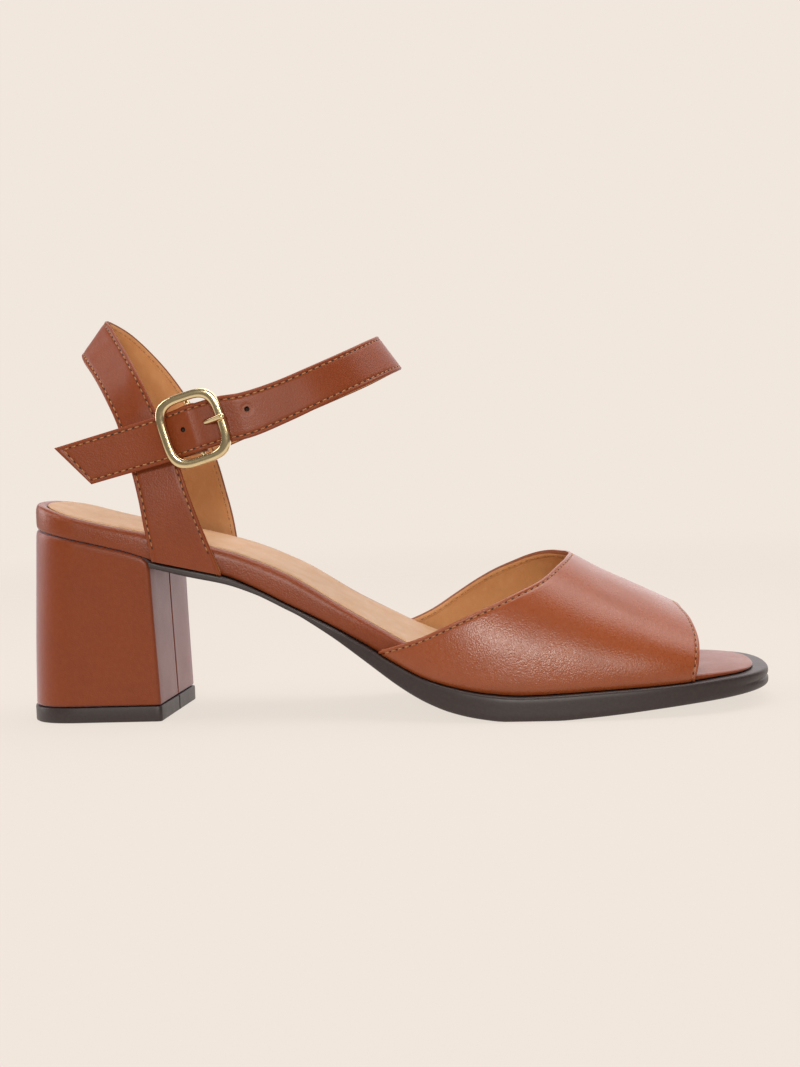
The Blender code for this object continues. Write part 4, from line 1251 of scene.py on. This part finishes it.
# %% Course of the ankle strap
Course = namedtuple("Course", "x y z lean width")
ANKLE_STRAP = table(
    Course,
    (-81.0, 28.7, 86.9, 20.0, 13.4), (-71.0, 29.0, 90.3, 20.0, 13.4),
    (-60.0, 30.8, 94.8, 20.0, 13.4), (-48.0, 31.8, 99.5, 21.0, 13.4),
    (-36.0, 31.4, 103.8, 22.0, 13.4), (-24.0, 29.0, 108.1, 24.0, 13.4),
    (-12.0, 22.6, 112.2, 28.0, 13.4), (-3.0, 12.0, 115.2, 33.0, 13.4),
    (1.6, 0.0, 115.9, 35.0, 13.4), (-0.6, -10.0, 114.0, 33.0, 13.1),
    (-7.0, -19.5, 110.3, 29.0, 12.8), (-18.0, -26.8, 105.1, 25.0, 12.8),
    (-30.0, -31.0, 99.9, 22.0, 13.3), (-41.0, -33.3, 96.2, 19.0, 14.3),
)
TAIL = table(
    Course,
    (-70.0, -32.8, 89.1, 14.0, 14.6), (-83.0, -32.5, 85.9, 14.0, 14.4),
    (-96.4, -32.7, 82.5, 14.5, 14.2),
)
BUCKLE_X = -56.8
BUCKLE_Z = 92.7
BUCKLE_TILT = 16.0
FRAME_OUTER_Y = -36.6
FRAME_DEPTH = 2.6
CENTRE_BAR_Y = -32.4
ANKLE_STRAP_WIDTH = 14.7
STRAP_BULGE = 2.8
STRAP_BULGE_REACH = 8.5
STRAP_STATIONS = (8.5, 4.25, 0.0, -4.25, -8.5)
TAIL_SLANT = 8.2
TAIL_RAMP = 14.0
TAIL_ANGLE = 30.0
JOIN_X = -58.0
PRONG_V = 0.6
HOLE_RADIUS = 0.82
PRESSED_RADIUS = 1.5
HOLE_PLACES = (-3.1, 17.5)
COURSE_STEPS = 24
STRAP_COLUMNS = 22
PRESSED_DEPTH = 0.1
DISH_DEPTH = 0.12
FINE_STEP = 0.4
PLAIN_STEP = 0.85
FINE_REACH = 3.4


def buckle_matrix(y):
    """Place along the strap (u), across it (v) and outward (w) in the shoe."""
    tilt = math.radians(BUCKLE_TILT)
    along = Vector((math.cos(tilt), 0.0, math.sin(tilt)))
    across = Vector((-math.sin(tilt), 0.0, math.cos(tilt)))
    basis = Matrix((along, across, Vector((0.0, -1.0, 0.0)))).transposed().to_4x4()
    return Matrix.Translation(Vector((BUCKLE_X, y, BUCKLE_Z))) @ basis


def away_from(points, centre):
    """Distance in the plane of the buckle; the medial side counts as far away."""
    return np.linalg.norm((points - centre)[..., [0, 2]], axis=-1) + (points[..., 1] > 0.0) * FAR


def close_rows(length, places):
    """Distances along the strap, close together near some places."""
    at = [0.0]
    while at[-1] < length:
        near = min(abs(at[-1] - place) for place in places)
        at.append(at[-1] + (FINE_STEP if near < FINE_REACH else PLAIN_STEP))
    return np.array(at) * length / at[-1]


under_bar = FRAME_OUTER_Y + FRAME_DEPTH + LAYER_GAP
middle = []
tilt = math.radians(BUCKLE_TILT)
for u in STRAP_STATIONS:
    bulge = STRAP_BULGE * 0.5 * (1.0 + math.cos(math.pi * u / STRAP_BULGE_REACH))
    middle.append((BUCKLE_X + u * math.cos(tilt), under_bar - bulge,
                   BUCKLE_Z + u * math.sin(tilt), BUCKLE_TILT, ANKLE_STRAP_WIDTH))
course = smooth_course([*ANKLE_STRAP, *middle, *TAIL], COURSE_STEPS)
way = way_along(course[:, :3])
hole_centres = [np.array(buckle_matrix(CENTRE_BAR_Y) @ Vector((u, PRONG_V, 3.0)))
                for u in HOLE_PLACES]
hole_ways = [way[np.argmin(away_from(course[:, :3], centre))] for centre in hole_centres]
rows_at = close_rows(way[-1], [*hole_ways, way[-1]])
course = np.stack([np.interp(rows_at, way, column) for column in course.T], axis=1)
print("ankle strap:", round(way[-1], 1), "mm long in", len(course), "rows")

# %% [markdown]
# Each row of the strap stands square to the course and leans by the table. The rows of
# the tail are slanted to its cut end, and the skin is pressed down a little round the
# two holes, as a punch leaves it.

# %% Ankle strap
run = np.gradient(course[:, :3], axis=0)
run /= np.linalg.norm(run, axis=1)[:, None]
to_end = rows_at[-1] - rows_at
ankle_points = []
ankle_edges = []
for row, tangent, left in zip(course, run, to_end):
    width = row[4]
    lean = math.radians(row[3])
    up = np.array([-math.sin(lean), 0.0, math.cos(lean)])
    up -= tangent * up.dot(tangent)
    up /= np.linalg.norm(up)
    across = across_places(width, STRAP_COLUMNS)
    slant = TAIL_SLANT * max(0.0, 1.0 - left / TAIL_RAMP) * (across / width - 0.5)
    ankle_points.append(row[:3] + np.outer(across - width / 2.0, up) + np.outer(slant, tangent))
    side = np.minimum(across, width - across)
    ankle_edges.append(np.minimum(side, left * math.cos(math.radians(TAIL_ANGLE))))
ankle_points = np.array(ankle_points)
pits = 0.0
for centre in hole_centres:
    away = away_from(ankle_points, centre)
    pits = pits - PRESSED_DEPTH * bell(away - PRESSED_RADIUS, 0.4) - DISH_DEPTH * bell(away, 1.0)
ankle_points, ankle_normals = pressed(
    ankle_points, np.array(ankle_edges), STRAP_INSIDE, (), pits)
ankle_strap = leather_wall("ankle_strap_leather", ankle_points, STRAP_INSIDE, strap_calf)

# %% [markdown]
# Two holes are punched deep into the strap, and the prong goes right through a third one.
# A dark dot painted on would lie flat. Each hole is cut with a cylinder and an exact
# Boolean, and the cylinder's own near-black finish becomes its wall: painted shade that
# makes the holes look dark.

# %% Punch the holes
PRONG_RISE = 28.0
PRONG_LENGTH = 12.4
PRONG_CUT_START = 2.0
PRONG_CUT_RADIUS = 0.98
HOLE_DEPTH = 1.5
TOOL_ROOM = 3.0


def between(start, end):
    """Length, shift and turn of a cylinder from one point to another."""
    start, end = Vector(start), Vector(end)
    turn = (end - start).to_track_quat("Z", "Y").to_matrix().to_4x4()
    return (end - start).length, Matrix.Translation((start + end) / 2.0), turn


def punch(piece, start, end, radius):
    """Cut a round hole between two points of the buckle."""
    length, shift, turn = between(start, end)
    pick()
    bpy.ops.mesh.primitive_cylinder_add(vertices=20, radius=radius, depth=length)
    tool = bpy.context.active_object
    # The tool's near-black finish is painted shade for the hole's wall.
    tool.data.materials.append(hole_shade_paint)
    tool.data.transform(Matrix.Scale(MM, 4) @ (buckle_matrix(CENTRE_BAR_Y) @ shift @ turn))
    cut = piece.modifiers.new("hole", "BOOLEAN")
    cut.operation = "DIFFERENCE"
    cut.solver = "EXACT"
    cut.object = tool
    cut.material_mode = "TRANSFER"
    apply_modifiers(piece)
    bpy.data.objects.remove(tool, do_unlink=True)


for u, centre in zip(HOLE_PLACES, hole_centres):
    away = away_from(ankle_points, centre)
    face_w = CENTRE_BAR_Y - ankle_points[np.unravel_index(np.argmin(away), away.shape)][1]
    ends = [(u, PRONG_V, face_w + depth) for depth in (-HOLE_DEPTH, TOOL_ROOM)]
    punch(ankle_strap, *ends, HOLE_RADIUS)
rise = math.radians(PRONG_RISE)
ends = [(at * math.cos(rise), PRONG_V, at * math.sin(rise))
        for at in (PRONG_CUT_START, PRONG_LENGTH + TOOL_ROOM)]
punch(ankle_strap, *ends, PRONG_CUT_RADIUS)
smooth(ankle_strap, 50.0)
settle(ankle_strap, "brown_leather", "heel_and_ankle_strap")

# %% [markdown]
# The strap's seam starts in front of the join with the heel strap, runs along the lower
# edge, across the slanted tail and back along the upper edge.

# %% Stitches of the ankle strap
past_join = np.abs(ankle_points[:, 0, 0] - JOIN_X) + (ankle_points[:, 0, 1] < 0) * FAR
end_row = int(np.argmin(np.abs(to_end - SEAM_INSET / math.cos(math.radians(TAIL_ANGLE)))))
rows = slice(int(np.argmin(past_join)), end_row + 1)
low, high = SEAM_COLUMN, ankle_points.shape[1] - 1 - SEAM_COLUMN
sew("ankle_strap_stitches", [
    *both_faces(ankle_points, ankle_normals, rows, low),
    *both_faces(ankle_points, ankle_normals, end_row, slice(low, high + 1)),
    *both_faces(ankle_points, ankle_normals, rows, high),
])

# %% [markdown]
# The leather loop holds the buckle. It is folded round the centre bar and sewn behind the
# strap, so little of it shows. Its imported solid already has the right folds. A copy of
# it is merged, and its edges are rounded with a bevel.

# %% Buckle loop
loop_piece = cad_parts["buckle_loop"].copy()
loop_piece.data = loop_piece.data.copy()
loop_piece.name = "buckle_loop_leather"
loop_piece.parent = None
bpy.context.scene.collection.objects.link(loop_piece)
for key in list(loop_piece.keys()):
    del loop_piece[key]
pick(loop_piece)
loop_piece.data.materials.clear()
loop_piece.data.materials.append(calf)
with edit_mode():
    bpy.ops.mesh.remove_doubles(threshold=0.005 * MM)
    bpy.ops.mesh.tris_convert_to_quads()
rounding = loop_piece.modifiers.new("rounding", "BEVEL")
rounding.width = 0.2 * MM
rounding.segments = 2
rounding.limit_method = "ANGLE"
rounding.angle_limit = math.radians(50.0)
apply_modifiers(loop_piece)
smooth(loop_piece)
settle(loop_piece, "brown_leather", "buckle_loop")

# %% [markdown]
# The buckle's frame is a rounded square of cast metal with a soft rectangular section. A
# torus has the right topology, so one is added, and its points move out to the
# square plan and the flatter section. The centre bar and its two lugs are cylinders with
# bevelled ends.

# %% Buckle frame
FRAME_LENGTH = 21.2
FRAME_WIDTH = 23.1
FRAME_BAR = 2.7
FRAME_SQUARENESS = 3.6
SECTION_SQUARENESS = 3.4
TORUS_RADIUS = 4.0
CENTRE_BAR_RADIUS = 0.8
LUG_RADIUS = 0.65
LUG_SHIFT = 0.5
LUG_TOP = 0.6


def signed_power(value, power):
    return math.copysign(abs(value) ** power, value)


def metal_bar(start, end, radius, bevel):
    """Round bar between two points of the buckle, with bevelled ends."""
    length, shift, turn = between(start, end)
    pick()
    bpy.ops.mesh.primitive_cylinder_add(vertices=24, radius=radius, depth=length)
    bar = bpy.context.active_object
    bpy.ops.object.mode_set(mode="EDIT")
    shape = bmesh.from_edit_mesh(bar.data)
    for edge in shape.edges:
        edge.select = len(edge.link_faces) == 2 and any(
            len(face.verts) > 4 for face in edge.link_faces)
    bmesh.update_edit_mesh(bar.data)
    bpy.ops.mesh.bevel(offset=bevel, segments=3, affect="EDGES")
    bpy.ops.object.mode_set(mode="OBJECT")
    bar.data.transform(shift @ turn)
    return bar


pick()
bpy.ops.mesh.primitive_torus_add(
    major_radius=TORUS_RADIUS, minor_radius=1.0, major_segments=144, minor_segments=32)
buckle = bpy.context.active_object
buckle.name = "buckle_frame_metal"
square = 2.0 / FRAME_SQUARENESS
flat = 2.0 / SECTION_SQUARENESS
for vert in buckle.data.vertices:
    turn = math.atan2(vert.co.y, vert.co.x)
    roll = math.atan2(vert.co.z, math.hypot(vert.co.x, vert.co.y) - TORUS_RADIUS)
    spread = (signed_power(math.cos(roll), flat) - 1.0) * FRAME_BAR / 2.0
    u = signed_power(math.cos(turn), square) * (FRAME_LENGTH / 2.0 + spread)
    v = signed_power(math.sin(turn), square) * (FRAME_WIDTH / 2.0 + spread)
    vert.co = (u, v, signed_power(math.sin(roll), flat) * FRAME_DEPTH / 2.0)
frame_y = FRAME_OUTER_Y + FRAME_DEPTH / 2.0
reach = (FRAME_WIDTH - FRAME_BAR) / 2.0 + LUG_SHIFT
drop = frame_y - CENTRE_BAR_Y
bars = [metal_bar((0.0, -reach, drop), (0.0, reach, drop), CENTRE_BAR_RADIUS, 0.2)]
for v in (-reach, reach):
    bars.append(metal_bar((0.0, v, drop - LUG_RADIUS), (0.0, v, LUG_TOP), LUG_RADIUS, 0.25))
join(buckle, *bars)
buckle.data.transform(Matrix.Scale(MM, 4) @ buckle_matrix(frame_y))
buckle.data.materials.append(gold)
smooth(buckle, 60.0)
settle(buckle, "pale_gold", "buckle_frame")

# %% [markdown]
# The prong is a thin rod with a rounded tip, a shallow groove on its face and an eye
# round the centre bar. The rod is a cylinder that is cut across into rings, tapered
# and grooved, and the eye is a small torus.

# %% Buckle prong
PRONG_ROOT_RADIUS = 0.75
PRONG_TIP_RADIUS = 1.1
PRONG_TIP_ROUND = 0.9
PRONG_CUTS = (*np.linspace(-0.45, 0.35, 6), 0.4, 0.44, 0.47, 0.49)
PRONG_GROOVE_DEPTH = 0.16
PRONG_GROOVE_START = 5.0
EYE_RADIUS = 1.42
EYE_WIRE = 0.37
EYE_WIDENING = 2.4
pick()
bpy.ops.mesh.primitive_cylinder_add(
    vertices=24, radius=1.0, depth=PRONG_LENGTH, end_fill_type="NGON")
prong = bpy.context.active_object
prong.name = "buckle_prong_metal"
bpy.ops.object.mode_set(mode="EDIT")
for cut in PRONG_CUTS:
    bpy.ops.mesh.select_all(action="SELECT")
    bpy.ops.mesh.bisect(plane_co=(0.0, 0.0, cut * PRONG_LENGTH), plane_no=(0.0, 0.0, 1.0))
bpy.ops.object.mode_set(mode="OBJECT")
for vert in prong.data.vertices:
    along = vert.co.z + PRONG_LENGTH / 2.0
    radius = PRONG_ROOT_RADIUS + (PRONG_TIP_RADIUS - PRONG_ROOT_RADIUS) * along / PRONG_LENGTH
    past = max(0.0, along - (PRONG_LENGTH - PRONG_TIP_ROUND)) / PRONG_TIP_ROUND
    radius *= math.sqrt(max(0.04, 1.0 - past * past))
    turn = math.atan2(vert.co.y, vert.co.x) - math.pi / 2.0
    groove = PRONG_GROOVE_DEPTH * bell(turn, 0.3) * (along > PRONG_GROOVE_START)
    size = math.hypot(vert.co.x, vert.co.y)
    if size > 0.1:
        vert.co.x *= radius / size
        vert.co.y *= (radius - groove) / size
to_eye = Matrix.Translation((0.0, PRONG_V, 0.0))
tilt = Matrix.Rotation(math.radians(90.0 - PRONG_RISE), 4, "Y")
lay = Matrix.Rotation(math.radians(90.0), 4, "Z")
prong.data.transform(to_eye @ tilt @ Matrix.Translation((0.0, 0.0, PRONG_LENGTH / 2.0)) @ lay)
pick()
bpy.ops.mesh.primitive_torus_add(
    major_radius=EYE_RADIUS, minor_radius=EYE_WIRE, major_segments=32, minor_segments=12)
eye = bpy.context.active_object
stand = Matrix.Rotation(math.radians(90.0), 4, "X")
eye.data.transform(to_eye @ stand @ Matrix.Diagonal((1.0, 1.0, EYE_WIDENING, 1.0)))
join(prong, eye)
prong.data.transform(Matrix.Scale(MM, 4) @ buckle_matrix(CENTRE_BAR_Y))
prong.data.materials.append(gold)
smooth(prong, 50.0)
settle(prong, "pale_gold", "buckle_prong")

# %% [markdown]
# Last, the first stitch has done its work and goes.

# %% Clear up
bpy.data.objects.remove(stitch, do_unlink=True)
